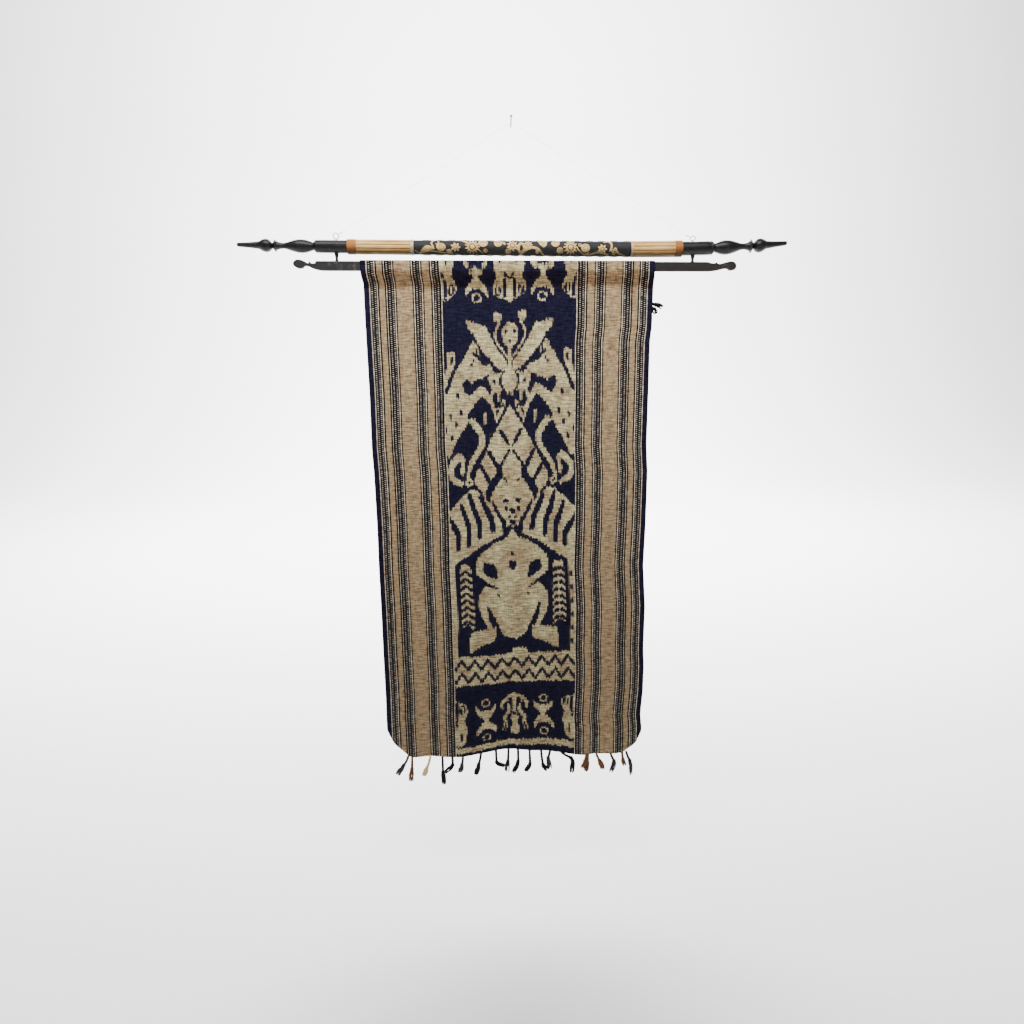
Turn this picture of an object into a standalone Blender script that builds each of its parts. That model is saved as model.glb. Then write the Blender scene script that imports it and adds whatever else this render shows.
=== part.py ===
# A warp-ikat cloth with a knotted fringe, draped over the flat bar of a turned and
# carved hanging pole. Two pegs join the bar to the pole, and a thin line runs from
# two screw eyes in the pole over one wall nail.
# Metres, +Z up. The wall is the plane y = 0 and the front of the cloth faces -Y.
# The origin is where the nail enters the wall.

import math
import random

import bmesh
import bpy
import numpy as np
from mathutils import Matrix, Vector

MM = 0.001
GAP = 0.0003
WELD = 0.00001
HOLE_OVERRUN = 0.004

# The hanger as a whole
HANGER_X = 0.009
HANGER_Y = -0.018
HANGER_TILT = 0.0095
POLE_TILT = 0.0142
POLE_END_RISES = (0.003, 0.016)
POLE_TIP_X = -0.588
POLE_Z = -0.2473
POLE_GIRTH_GAIN = 0.14
POLE_GIRTH_ENDS = (-0.24, 0.40)
BAR_Z = -0.2847

# The pole's sections from the left turned end to the right one
TURNED_LENGTH = 0.2343
POLE_SECTIONS = (
    # name, length, radius
    ("orange_band_left", 0.0190, 0.0160),
    ("reeded_left", 0.1153, 0.0155),
    ("cream_ring_left", 0.0072, 0.0163),
    ("carved_centre", 0.4687, 0.0162),
    ("cream_ring_right", 0.0047, 0.0163),
    ("reeded_right", 0.0926, 0.0159),
    ("orange_band_right", 0.0160, 0.0162),
)
TURNED_STEPS = 20
SECTION_EDGE = 0.0006
SECTION_PIECE = 0.06
REEDS = 12
REED_DEPTH = 0.0013
REED_ROUNDNESS = 0.6
POINTS_A_REED = 4
REEDED_STEPS = 3
SHAFT_RADIUS = 0.0137
SHAFT_EDGE = 0.001
COLLAR_FOOT = 0.004
TURNED_PROFILE = (
    # from tip mm, radius mm
    (1.5, 3.1),
    (5.0, 4.4),
    (26.0, 5.8),
    (46.0, 7.8),
    (50.0, 9.6),
    (55.5, 12.6),
    (62.5, 13.9),
    (69.0, 12.2),
    (73.0, 8.6),
    (75.4, 5.5),
    (78.6, 9.0),
    (81.5, 13.4),
    (84.6, 9.6),
    (90.0, 7.4),
    (97.5, 6.1),
    (106.0, 7.4),
    (117.0, 11.0),
    (127.0, 13.5),
    (136.5, 14.3),
    (146.0, 13.5),
    (154.5, 11.0),
    (162.0, 8.1),
    (164.6, 11.0),
    (168.5, 13.9),
    (171.5, 13.0),
)

# The flat bar, whose two ends are carved as scrolls
BAR_LEFT_X = -0.472
BAR_RIGHT_X = 0.4915
BAR_HEIGHT = 0.0202
BAR_THICK = 0.010
BAR_EDGE = 0.0012
SCROLL_LEFT = (
    # from end mm, height mm, corner
    (49.0, 10.1, True),
    (47.0, 5.6, True),
    (41.5, 5.2, False),
    (38.0, 6.2, True),
    (35.3, 9.9, True),
    (33.0, 5.4, True),
    (27.0, 8.2, False),
    (20.0, 11.6, False),
    (13.0, 13.2, False),
    (5.5, 11.6, False),
    (0.3, 4.8, False),
    (6.0, -3.0, False),
    (15.0, -5.7, False),
    (21.5, -4.6, True),
    (24.5, -1.2, False),
    (31.0, -0.6, False),
    (41.0, -5.0, False),
    (57.0, -9.3, False),
    (74.0, -10.1, True),
)
SCROLL_RIGHT = (
    # from end mm, height mm, corner
    (64.0, 10.1, True),
    (50.5, 7.1, False),
    (47.0, 7.4, True),
    (44.0, 9.8, True),
    (39.4, 6.1, False),
    (30.0, 7.6, False),
    (20.0, 10.0, False),
    (7.0, 11.1, False),
    (0.5, 6.4, False),
    (0.4, -3.2, False),
    (6.0, -7.3, False),
    (15.5, -7.6, True),
    (20.0, -4.3, False),
    (30.0, -5.1, False),
    (44.0, -8.4, False),
    (62.0, -10.1, True),
)

# The pegs between pole and bar, and the screw eyes on top of the pole
PEGS = (("peg_left", -0.3782), ("peg_right", 0.3947))
PEG_TOP_RADIUS = 0.0046
PEG_FOOT_RADIUS = 0.0035
PEG_WAIST_RADIUS = 0.0029
PEG_HEAD_HEIGHT = 0.003
PEG_STEPS = 14
TENON_RADIUS = 0.0025
TENON_IN_POLE = 0.0080
TENON_IN_BAR = 0.0060
EYES = (
    # name, x, turn degrees, lean degrees
    ("screw_eye_left", -0.3772, 18.0, 0.0),
    ("screw_eye_right", 0.3930, -20.0, -35.0),
)
EYE_RADIUS = 0.0060
EYE_WIRE = 0.0010
EYE_LIFT = 0.0078
SHANK_RADIUS = 0.0013
SHANK_DEPTH = 0.0090
SHANK_STEPS = 10
RING_STEPS = 20
WIRE_STEPS = 8

# The nail and the line
NAIL_RADIUS = 0.0012
NAIL_HEAD_RADIUS = 0.0029
NAIL_HEAD_THICK = 0.0011
NAIL_LENGTH = 0.0246
NAIL_RISE_DEGREES = 43.0
NAIL_STEPS = 12
NAIL_NECK = 0.0007
NAIL_BEHIND_WALL = 0.004
LINE_BEND_RADIUS = 0.0026
LINE_RADIUS = 0.0004
LINE_OFF_WALL = 0.0045
LINE_IN_EYE = 0.0016
LINE_POINTS_A_RUN = 14
LINE_POINTS_OVER_NAIL = 5

# The cloth
CLOTH_THICK = 0.0015
CLOTH_OFF_BAR = 0.002
CLOTH_OVER_BAR = 0.0007
CLOTH_TURN_HEIGHT = 0.007
CLOTH_TURN_POWER = 0.55
CLOTH_HANG_Y = -0.0168
BACK_HEM_Z = -0.3625
TUCK_TOP_Z = -0.2975
TUCK_FOOT_Z = -0.3300
FRONT_HEM_Z = -1.4490
HEM_EASE_LENGTH = 0.30
HEM_ABOVE = 0.014
HEM_MARGIN = 0.002
BACK_STEPS = 6
TURN_STEPS = 12
FRONT_STEPS = 4
TUCK_STEPS = 8
CLOTH_COLUMNS = 24
CLOTH_ROWS = (
    # steps of the path over the bar and in the tuck that become rows of the cloth
    (0, 2, 4, 6, 7, 8, 9, 10, 12, 14, 15, 16, 17, 18),
    (20, 22, 24, 26, 28),
)
FRONT_ROWS = 27
FOLD_EASE = 0.03
FOLD_EASE_SHARE = 0.14
CORNER_CURL_RADIUS = 0.0045
CORNER_CURL_STEPS = 4
CORNER_REACH = 0.075
CORNER_ABOVE = 0.03
CLOTH_EDGES = (
    # below nail mm, left mm, right mm
    (262, -329.0, 310.3),
    (300, -328.5, 310.5),
    (322, -324.5, 309.8),
    (412, -324.8, 309.0),
    (444, -324.5, 305.4),
    (564, -323.4, 304.7),
    (680, -324.5, 303.6),
    (738, -322.5, 307.7),
    (860, -321.5, 306.6),
    (965, -322.4, 303.3),
    (1067, -321.9, 310.0),
    (1175, -322.2, 308.8),
    (1222, -322.0, 311.4),
    (1283, -321.8, 310.5),
    (1348, -322.7, 305.8),
    (1380, -322.7, 309.1),
    (1460, -322.7, 308.7),
)
FRONT_HEM = (
    # across mm, below nail mm
    (-323, 1446),
    (-279, 1446),
    (-255, 1451),
    (-220, 1447),
    (-178, 1451),
    (-138, 1452),
    (-88, 1445),
    (-46, 1438),
    (-6, 1437),
    (37, 1441),
    (77, 1444),
    (140, 1456),
    (168, 1459),
    (190, 1455),
    (241, 1459),
    (274, 1456),
    (309, 1456),
)
FOLDS = (
    # name, centre mm, half width mm, top mm, foot mm, forward mm
    ("middle_trough", -24, 26, 980, 1500, -4.5),
    ("middle_ridge", 22, 34, 1010, 1500, 3.0),
    ("left_swell", -205, 90, 520, 1320, 3.5),
    ("right_swell", 190, 95, 460, 1250, 3.0),
    ("belly", -10, 120, 430, 900, 2.5),
    ("left_hem_wave", -150, 55, 1300, 1520, 4.0),
    ("right_hem_wave", 165, 60, 1290, 1520, 4.0),
)
CORNERS = (
    # name, side edge below nail mm, hem across mm
    ("left", 1388, -285),
    ("right", 1414, 279),
)

# The fringe: each tassel hangs from its root in the strip to a bend and an end
STRIP_HEIGHT = 0.003
STRIP_THICK = 0.0018
STRIP_SHORTEST = 0.0008
TASSEL_ROOT = 0.0030
TASSEL_PATH_STEPS = 16
TASSEL_SECTIONS = (
    # along, width mm, thickness mm
    (0.10, 2.7, 2.2),
    (0.32, 2.9, 2.6),
    (0.52, 3.6, 3.0),
    (0.74, 6.2, 4.0),
    (0.92, 5.8, 3.6),
    (1.00, 3.2, 2.2),
)
FRONT_TASSELS = (
    # root mm, bend mm, bend drop mm, end mm, end drop mm, forward mm
    (-273.5, -285.0, 24, -303.0, 51, 2),
    (-264.5, -266.0, 34, -269.5, 69, 0),
    (-218.9, -228.0, 33, -237.1, 57, 1),
    (-189.2, -189.2, 41, -187.9, 80, 0),
    (-164.3, -164.0, 20, -186.0, 41, 8),
    (-138.2, -141.0, 22, -146.9, 44, 2),
    (-93.2, -99.0, 30, -107.0, 60, 1),
    (-55.7, -55.0, 31, -31.8, 43, 5),
    (-24.4, -26.0, 34, -29.0, 66, 0),
    (-0.7, -0.5, 33, -13.9, 66, 3),
    (28.1, 29.1, 36, 16.3, 60, 2),
    (57.0, 61.0, 38, 73.0, 55, 5),
    (79.6, 75.0, 20, 81.0, 53, -1),
    (107.2, 130.0, 16, 133.9, 59, 3),
    (170.6, 168.0, 16, 160.0, 37, 3),
    (174.9, 174.5, 24, 169.8, 50, -1),
    (195.6, 203.0, 20, 213.9, 45, 2),
    (232.3, 240.5, 20, 232.5, 54, 2),
    (261.5, 264.0, 20, 269.5, 39, 1),
    (272.0, 281.0, 24, 285.7, 67, 1),
)
FRONT_STRIP_ENDS = (-0.2770, 0.2740)
BACK_STRIP_ENDS = (-0.3180, 0.3080)
BACK_TASSEL_PITCH = 0.0300
BACK_TASSEL_DROP = (0.044, 0.060)
BACK_TASSEL_SWING = 0.012
BACK_TASSEL_SEED = 11
BACK_TASSEL_MARGINS = (0.006, 0.024)
BACK_SIDE_TASSELS = (
    # root mm, bend mm, bend drop mm, end mm, end drop mm, forward mm
    (298.0, 308.0, 11, 322.0, 23, 0),
    (305.0, 317.0, 4, 334.0, 12, -1),
)

COLOURS = (
    # name, red, green, blue, roughness, metallic
    ("ikat_cotton", 0.060, 0.050, 0.090, 0.90, 0.0),
    ("fringe_yarn", 0.050, 0.040, 0.045, 0.92, 0.0),
    ("black_wood", 0.030, 0.032, 0.032, 0.38, 0.0),
    ("grey_bar_wood", 0.062, 0.058, 0.068, 0.55, 0.0),
    ("orange_wood", 0.460, 0.180, 0.060, 0.45, 0.0),
    ("natural_wood", 0.580, 0.370, 0.150, 0.50, 0.0),
    ("cream_bone", 0.720, 0.660, 0.520, 0.50, 0.0),
    ("carved_wood", 0.090, 0.075, 0.060, 0.55, 0.0),
    ("steel", 0.550, 0.540, 0.520, 0.30, 1.0),
    ("iron", 0.080, 0.070, 0.065, 0.50, 1.0),
    ("clear_nylon", 0.850, 0.850, 0.830, 0.15, 0.0),
)


def clear_scene():
    for obj in list(bpy.data.objects):
        bpy.data.objects.remove(obj, do_unlink=True)


def new_collection(name):
    collection = bpy.data.collections.new(name)
    bpy.context.scene.collection.children.link(collection)
    return collection


def make_materials():
    made = {}
    for name, red, green, blue, roughness, metallic in COLOURS:
        material = bpy.data.materials.new(name)
        material.use_nodes = True
        shader = material.node_tree.nodes["Principled BSDF"]
        shader.inputs["Base Color"].default_value = (red, green, blue, 1.0)
        shader.inputs["Roughness"].default_value = roughness
        shader.inputs["Metallic"].default_value = metallic
        material.diffuse_color = (red, green, blue, 1.0)
        made[name] = material
    return made


def add_object(name, mesh, material, smooth_below=None):
    obj = bpy.data.objects.new(name, mesh)
    PIECES.objects.link(obj)
    mesh.materials.clear()
    mesh.materials.append(MATERIALS[material])
    if smooth_below is not None:
        mesh.shade_smooth()
        mesh.set_sharp_from_angle(angle=math.radians(smooth_below))
    return obj


def object_from_bmesh(name, bm, material, smooth_below=None):
    bmesh.ops.recalc_face_normals(bm, faces=bm.faces)
    mesh = bpy.data.meshes.new(name)
    bm.to_mesh(mesh)
    bm.free()
    return add_object(name, mesh, material, smooth_below)


def evaluated_bmesh(obj):
    """The object's finished shape in world space as a welded bmesh; the object itself is removed."""
    bpy.context.view_layer.update()
    graph = bpy.context.evaluated_depsgraph_get()
    mesh = bpy.data.meshes.new_from_object(obj.evaluated_get(graph))
    mesh.transform(obj.matrix_world)
    bm = bmesh.new()
    bm.from_mesh(mesh)
    bmesh.ops.remove_doubles(bm, verts=bm.verts, dist=WELD)
    bpy.data.meshes.remove(mesh)
    bpy.data.objects.remove(obj, do_unlink=True)
    return bm


def drop_at(x):
    """How far the tilted hanger lies below its middle at x."""
    return -HANGER_TILT * (x - HANGER_X)


def pole_axis_z(x):
    """The pole is a little more tilted than the bar, and its two ends bend up."""
    half = TURNED_LENGTH + sum(length for _, length, _ in POLE_SECTIONS) / 2
    share = (x - HANGER_X) / half
    end_rise = POLE_END_RISES[0] if share < 0 else POLE_END_RISES[1]
    return POLE_Z - POLE_TILT * (x - HANGER_X) + end_rise * share**4


def girth_at(x):
    """How much thicker the pole is at x than at its left end: it thickens towards the right."""
    left, right = POLE_GIRTH_ENDS
    return 1.0 + POLE_GIRTH_GAIN * (min(max(x, left), right) - left)


def shaft_radius_at(x):
    return SHAFT_RADIUS * girth_at(x)


def lay_along_pole(bm):
    """Moves a shape that was made along the X axis onto the pole's axis, with the pole's girth."""
    for vert in bm.verts:
        vert.co.yz *= girth_at(vert.co.x)
        vert.co.y += HANGER_Y
        vert.co.z += pole_axis_z(vert.co.x)


def turned(name, profile, steps):
    """A turned shape round the Z axis from (radius, height) rows, top to bottom, as a bmesh."""
    mesh = bpy.data.meshes.new(name + "_profile")
    rows = [(radius, 0.0, height) for radius, height in profile]
    mesh.from_pydata(rows, [(i, i + 1) for i in range(len(rows) - 1)], [])
    obj = bpy.data.objects.new(name + "_profile", mesh)
    PIECES.objects.link(obj)
    screw = obj.modifiers.new("Turn", "SCREW")
    screw.steps = steps
    screw.render_steps = steps
    screw.use_merge_vertices = True
    screw.merge_threshold = WELD
    return evaluated_bmesh(obj)


def cylinder(radius, depth, segments, matrix):
    bm = bmesh.new()
    bmesh.ops.create_cone(
        bm,
        cap_ends=True,
        segments=segments,
        radius1=radius,
        radius2=radius,
        depth=depth,
        matrix=matrix,
    )
    return bm


def cut(obj, name, bm):
    """Cuts the shape out of the object with a Boolean and keeps it as a hidden cutter."""
    mesh = bpy.data.meshes.new(name)
    bmesh.ops.recalc_face_normals(bm, faces=bm.faces)
    bm.to_mesh(mesh)
    bm.free()
    cutter = bpy.data.objects.new(name, mesh)
    CUTTERS.objects.link(cutter)
    cutter.hide_render = True
    cutter.display_type = "WIRE"
    modifier = obj.modifiers.new(name, "BOOLEAN")
    modifier.operation = "DIFFERENCE"
    modifier.solver = "EXACT"
    modifier.object = cutter


def smoothstep(value):
    value = np.clip(value, 0.0, 1.0)
    return value * value * (3.0 - 2.0 * value)


# Pole


def turned_end(name, tip_x, inward):
    """Finial, baluster, collar and black shaft; inward is +1 at the left end and -1 at the right."""
    profile = [(0.0, 0.0)]
    profile += [(radius * MM, -along * MM) for along, radius in TURNED_PROFILE]
    shaft_start = TURNED_PROFILE[-1][0] * MM + COLLAR_FOOT
    shaft_end = TURNED_LENGTH - GAP
    profile += [(SHAFT_RADIUS, -shaft_start)]
    profile += [(SHAFT_RADIUS, -(shaft_start + shaft_end) / 2)]
    profile += [(SHAFT_RADIUS, -shaft_end + SHAFT_EDGE)]
    profile += [(SHAFT_RADIUS - SHAFT_EDGE, -shaft_end), (0.0, -shaft_end)]
    bm = turned(name, profile, TURNED_STEPS)
    lay_down = Matrix.Rotation(math.radians(-90.0) * inward, 4, "Y")
    bmesh.ops.transform(bm, matrix=Matrix.Translation((tip_x, 0, 0)) @ lay_down, verts=bm.verts)
    lay_along_pole(bm)
    return object_from_bmesh(name, bm, "black_wood", 35)


def plain_section(name, start, length, radius, material):
    """A turned ring or cylinder along the pole, with its two ends eased."""
    pieces = max(1, round(length / SECTION_PIECE))
    run = length - GAP
    profile = [(0.0, 0.0), (radius - SECTION_EDGE, 0.0), (radius, -SECTION_EDGE)]
    profile += [(radius, -run * i / pieces) for i in range(1, pieces)]
    profile += [(radius, -run + SECTION_EDGE), (radius - SECTION_EDGE, -run), (0.0, -run)]
    bm = turned(name, profile, TURNED_STEPS)
    lay_down = Matrix.Rotation(math.radians(-90.0), 4, "Y")
    bmesh.ops.transform(bm, matrix=Matrix.Translation((start, 0, 0)) @ lay_down, verts=bm.verts)
    lay_along_pole(bm)
    return object_from_bmesh(name, bm, material, 35)


def reeded_section(name, start, length, radius):
    """A length of pole carved with rounded reeds, extruded from one lobed face."""
    bm = bmesh.new()
    bmesh.ops.create_circle(bm, cap_ends=True, segments=REEDS * POINTS_A_REED, radius=radius)
    for vert in bm.verts:
        turn = math.atan2(vert.co.y, vert.co.x) * REEDS / 2
        scale = 1.0 - REED_DEPTH / radius * (1.0 - abs(math.cos(turn)) ** REED_ROUNDNESS)
        vert.co.xy *= scale
    lay_down = Matrix.Translation((start, 0, 0)) @ Matrix.Rotation(math.radians(-90.0), 4, "Y")
    bmesh.ops.transform(bm, matrix=lay_down, verts=bm.verts)
    step = Vector(((length - GAP) / REEDED_STEPS, 0, 0))
    made = bmesh.ops.extrude_face_region(bm, geom=bm.faces[:], use_keep_orig=True)
    face = next(item for item in made["geom"] if isinstance(item, bmesh.types.BMFace))
    bmesh.ops.translate(bm, verts=face.verts[:], vec=step)
    for _ in range(REEDED_STEPS - 1):
        face = bmesh.ops.extrude_discrete_faces(bm, faces=[face])["faces"][0]
        bmesh.ops.translate(bm, verts=face.verts[:], vec=step)
    lay_along_pole(bm)
    return object_from_bmesh(name, bm, "natural_wood", 50)


def build_pole():
    materials = {"orange": "orange_wood", "cream": "cream_bone", "carved": "carved_wood"}
    left = turned_end("turned_end_left", POLE_TIP_X, 1)
    x = POLE_TIP_X + TURNED_LENGTH
    for name, length, radius in POLE_SECTIONS:
        if name.startswith("reeded"):
            reeded_section(name, x, length, radius)
        else:
            plain_section(name, x, length, radius, materials[name.split("_")[0]])
        x += length
    right = turned_end("turned_end_right", x + TURNED_LENGTH, -1)
    return left, right


# Flat bar


def scroll_points(rows, end_x, inward):
    return [(end_x + inward * along * MM, height * MM, corner) for along, height, corner in rows]


def build_flat_bar():
    """One closed outline with a scroll at each end, extruded to the bar's thickness."""
    outline = scroll_points(SCROLL_LEFT, BAR_LEFT_X, 1)
    outline += reversed(scroll_points(SCROLL_RIGHT, BAR_RIGHT_X, -1))
    curve = bpy.data.curves.new("flat_bar_outline", "CURVE")
    curve.dimensions = "2D"
    curve.fill_mode = "BOTH"
    curve.extrude = BAR_THICK / 2 - BAR_EDGE
    curve.bevel_depth = BAR_EDGE
    curve.bevel_resolution = 0
    curve.offset = -BAR_EDGE
    curve.resolution_u = 3
    spline = curve.splines.new("BEZIER")
    spline.bezier_points.add(len(outline) - 1)
    spline.use_cyclic_u = True
    for point, (x, height, corner) in zip(spline.bezier_points, outline):
        point.co = (x, height, 0.0)
        kind = "VECTOR" if corner else "AUTO"
        point.handle_left_type = kind
        point.handle_right_type = kind
    obj = bpy.data.objects.new("flat_bar_outline", curve)
    PIECES.objects.link(obj)
    obj.rotation_euler = (math.radians(90.0), 0.0, 0.0)
    obj.location = (0.0, HANGER_Y, BAR_Z)
    bm = evaluated_bmesh(obj)
    for vert in bm.verts:
        vert.co.z += drop_at(vert.co.x)
    return object_from_bmesh("flat_bar", bm, "grey_bar_wood", 40)


# Pegs and screw eyes


def build_peg(name, x, pole_end, bar):
    """A turned peg whose tenons sit in a hole under the pole and one in the top of the bar."""
    shoulder = pole_axis_z(x) - shaft_radius_at(x) - GAP
    foot = BAR_Z + drop_at(x) + BAR_HEIGHT / 2 + GAP
    top = shoulder + TENON_IN_POLE
    bottom = foot - TENON_IN_BAR
    waist = foot + (shoulder - foot) / 3
    profile = (
        (0.0, top),
        (TENON_RADIUS, top),
        (TENON_RADIUS, shoulder),
        (PEG_TOP_RADIUS, shoulder),
        (PEG_TOP_RADIUS, shoulder - PEG_HEAD_HEIGHT),
        (PEG_WAIST_RADIUS, waist),
        (PEG_FOOT_RADIUS, foot),
        (TENON_RADIUS, foot),
        (TENON_RADIUS, bottom),
        (0.0, bottom),
    )
    bm = turned(name, profile, PEG_STEPS)
    bmesh.ops.translate(bm, verts=bm.verts, vec=(x, HANGER_Y, 0))
    object_from_bmesh(name, bm, "black_wood", 35)
    hole = TENON_RADIUS + GAP
    for obj, low, high in (
        (pole_end, shoulder - HOLE_OVERRUN, top + GAP),
        (bar, bottom - GAP, foot + HOLE_OVERRUN),
    ):
        place = Matrix.Translation((x, HANGER_Y, (low + high) / 2))
        cut(obj, name + "_hole_in_" + obj.name, cylinder(hole, high - low, PEG_STEPS, place))


def eye_frame(x, turn, lean):
    """The ring's own frame: its centre, with its axis along local Y. It leans about its foot."""
    foot = Vector((x, HANGER_Y, pole_axis_z(x) + shaft_radius_at(x) + EYE_LIFT - EYE_RADIUS))
    spin = Matrix.Rotation(math.radians(turn), 4, "Z") @ Matrix.Rotation(math.radians(lean), 4, "X")
    return Matrix.Translation(foot) @ spin @ Matrix.Translation((0, 0, EYE_RADIUS))


def build_eye(name, x, turn, lean, pole_end):
    """A ring of wire joined to the threaded shank that stands in the top of the pole."""
    frame = eye_frame(x, turn, lean)
    bpy.ops.mesh.primitive_torus_add(
        major_radius=EYE_RADIUS,
        minor_radius=EYE_WIRE,
        major_segments=RING_STEPS,
        minor_segments=WIRE_STEPS,
    )
    ring = bpy.context.object
    ring.name = name
    ring.data.transform(frame @ Matrix.Rotation(math.radians(90.0), 4, "X"))
    for collection in list(ring.users_collection):
        collection.objects.unlink(ring)
    PIECES.objects.link(ring)
    pole_top = pole_axis_z(x) + shaft_radius_at(x)
    top = pole_top + EYE_LIFT - EYE_RADIUS + EYE_WIRE / 2
    bottom = pole_top - SHANK_DEPTH
    place = Matrix.Translation((x, HANGER_Y, (top + bottom) / 2))
    shank_mesh = bpy.data.meshes.new(name + "_shank")
    bm = cylinder(SHANK_RADIUS, top - bottom, SHANK_STEPS, place)
    bm.to_mesh(shank_mesh)
    bm.free()
    shank = bpy.data.objects.new(name + "_shank", shank_mesh)
    CUTTERS.objects.link(shank)
    shank.hide_render = True
    shank.display_type = "WIRE"
    join = ring.modifiers.new("Shank", "BOOLEAN")
    join.operation = "UNION"
    join.solver = "EXACT"
    join.object = shank
    ring.data.materials.append(MATERIALS["steel"])
    ring.data.shade_smooth()
    low = bottom - GAP
    high = pole_top + HOLE_OVERRUN
    hole_place = Matrix.Translation((x, HANGER_Y, (low + high) / 2))
    hole = cylinder(SHANK_RADIUS + GAP, high - low, SHANK_STEPS, hole_place)
    cut(pole_end, name + "_hole", hole)


# Nail and line


def nail_direction():
    rise = math.radians(NAIL_RISE_DEGREES)
    return Vector((0.0, -math.cos(rise), math.sin(rise)))


def build_nail():
    """A nail driven in on a slant, ending flat where it enters the wall."""
    profile = (
        (0.0, NAIL_LENGTH),
        (NAIL_HEAD_RADIUS, NAIL_LENGTH),
        (NAIL_HEAD_RADIUS, NAIL_LENGTH - NAIL_HEAD_THICK),
        (NAIL_RADIUS, NAIL_LENGTH - NAIL_HEAD_THICK - NAIL_NECK),
        (NAIL_RADIUS, -NAIL_BEHIND_WALL),
        (0.0, -NAIL_BEHIND_WALL),
    )
    bm = turned("wall_nail", profile, NAIL_STEPS)
    turn = Vector((0, 0, 1)).rotation_difference(nail_direction()).to_matrix().to_4x4()
    bmesh.ops.transform(bm, matrix=turn, verts=bm.verts)
    kept = bmesh.ops.bisect_plane(
        bm,
        geom=bm.verts[:] + bm.edges[:] + bm.faces[:],
        plane_co=(0, 0, 0),
        plane_no=(0, 1, 0),
        clear_outer=True,
    )
    rim = [item for item in kept["geom_cut"] if isinstance(item, bmesh.types.BMEdge)]
    bmesh.ops.contextual_create(bm, geom=rim)
    return object_from_bmesh("wall_nail", bm, "iron", 35)


def line_end(x, turn, lean, nail_top):
    """The last points of the line at one eye: over the front of the wire and into the ring."""
    frame = eye_frame(x, turn, lean)
    across = frame.to_3x3() @ Vector((1, 0, 0))
    upward = frame.to_3x3() @ Vector((0, 0, 1))
    front = frame.to_3x3() @ Vector((0, -1, 0))
    away = nail_top - frame.translation
    flat = Vector((away.dot(across), away.dot(upward))).normalized()
    along = across * flat.x + upward * flat.y
    clear = EYE_WIRE + LINE_RADIUS + GAP
    inside = frame.translation + along * (EYE_RADIUS - EYE_WIRE - LINE_IN_EYE)
    over = frame.translation + along * EYE_RADIUS + front * clear
    return [inside, over]


def line_route():
    """Hanging line from the left eye over the nail to the right eye, taut."""
    rise = math.radians(NAIL_RISE_DEGREES)
    clear = NAIL_RADIUS + LINE_RADIUS + GAP
    saddle_z = LINE_OFF_WALL * math.tan(rise) + clear / math.cos(rise)
    top = Vector((0.0, -LINE_OFF_WALL, saddle_z))
    (_, x_left, turn_left, lean_left), (_, x_right, turn_right, lean_right) = EYES
    left = line_end(x_left, turn_left, lean_left, top)
    right = line_end(x_right, turn_right, lean_right, top)
    slopes = []
    for end in (left[1], right[1]):
        run = end - top
        slopes.append(math.atan2(-run.z, abs(run.x)))
    centre = top - Vector((0, 0, LINE_BEND_RADIUS))
    saddle = []
    for i in range(LINE_POINTS_OVER_NAIL):
        angle = -slopes[0] + (slopes[0] + slopes[1]) * i / (LINE_POINTS_OVER_NAIL - 1)
        spoke = Vector((math.sin(angle), 0, math.cos(angle)))
        saddle.append(centre + spoke * LINE_BEND_RADIUS)
    points = [left[0]]
    points += [left[1].lerp(saddle[0], i / LINE_POINTS_A_RUN) for i in range(LINE_POINTS_A_RUN)]
    points += saddle
    points += [
        saddle[-1].lerp(right[1], i / LINE_POINTS_A_RUN) for i in range(1, LINE_POINTS_A_RUN + 1)
    ]
    points.append(right[0])
    return points


def build_line():
    curve = bpy.data.curves.new("hanging_line", "CURVE")
    curve.dimensions = "3D"
    curve.bevel_depth = LINE_RADIUS
    curve.bevel_resolution = 2
    curve.use_fill_caps = True
    points = line_route()
    spline = curve.splines.new("POLY")
    spline.points.add(len(points) - 1)
    for point, place in zip(spline.points, points):
        point.co = (*place, 1.0)
    obj = bpy.data.objects.new("hanging_line", curve)
    obj.data.materials.append(MATERIALS["clear_nylon"])
    PIECES.objects.link(obj)


# Cloth


def drape_profile():
    """The cloth's path over the bar from back hem to front hem as lengths, y and z."""
    reach = BAR_THICK / 2 + CLOTH_OFF_BAR + CLOTH_THICK / 2
    top_z = BAR_Z + BAR_HEIGHT / 2 + CLOTH_OVER_BAR + CLOTH_THICK / 2
    turn_z = top_z - CLOTH_TURN_HEIGHT
    path = []
    for i in range(BACK_STEPS):
        path.append((HANGER_Y + reach, BACK_HEM_Z + (turn_z - BACK_HEM_Z) * i / BACK_STEPS))
    for i in range(TURN_STEPS + 1):
        angle = math.pi * i / TURN_STEPS
        side = math.copysign(abs(math.cos(angle)) ** CLOTH_TURN_POWER, math.cos(angle))
        rise = CLOTH_TURN_HEIGHT * math.sin(angle) ** CLOTH_TURN_POWER
        path.append((HANGER_Y + reach * side, turn_z + rise))
    front_y = HANGER_Y - reach
    for i in range(1, FRONT_STEPS + 1):
        path.append((front_y, turn_z + (TUCK_TOP_Z - turn_z) * i / FRONT_STEPS))
    for i in range(1, TUCK_STEPS + 1):
        share = i / TUCK_STEPS
        y = front_y + (CLOTH_HANG_Y - front_y) * float(smoothstep(share))
        path.append((y, TUCK_TOP_Z + (TUCK_FOOT_Z - TUCK_TOP_Z) * share))
    path.append((CLOTH_HANG_Y, FRONT_HEM_Z))
    y, z = np.array(path).T
    lengths = np.concatenate([[0.0], np.cumsum(np.hypot(np.diff(y), np.diff(z)))])
    return lengths, y, z


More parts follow.
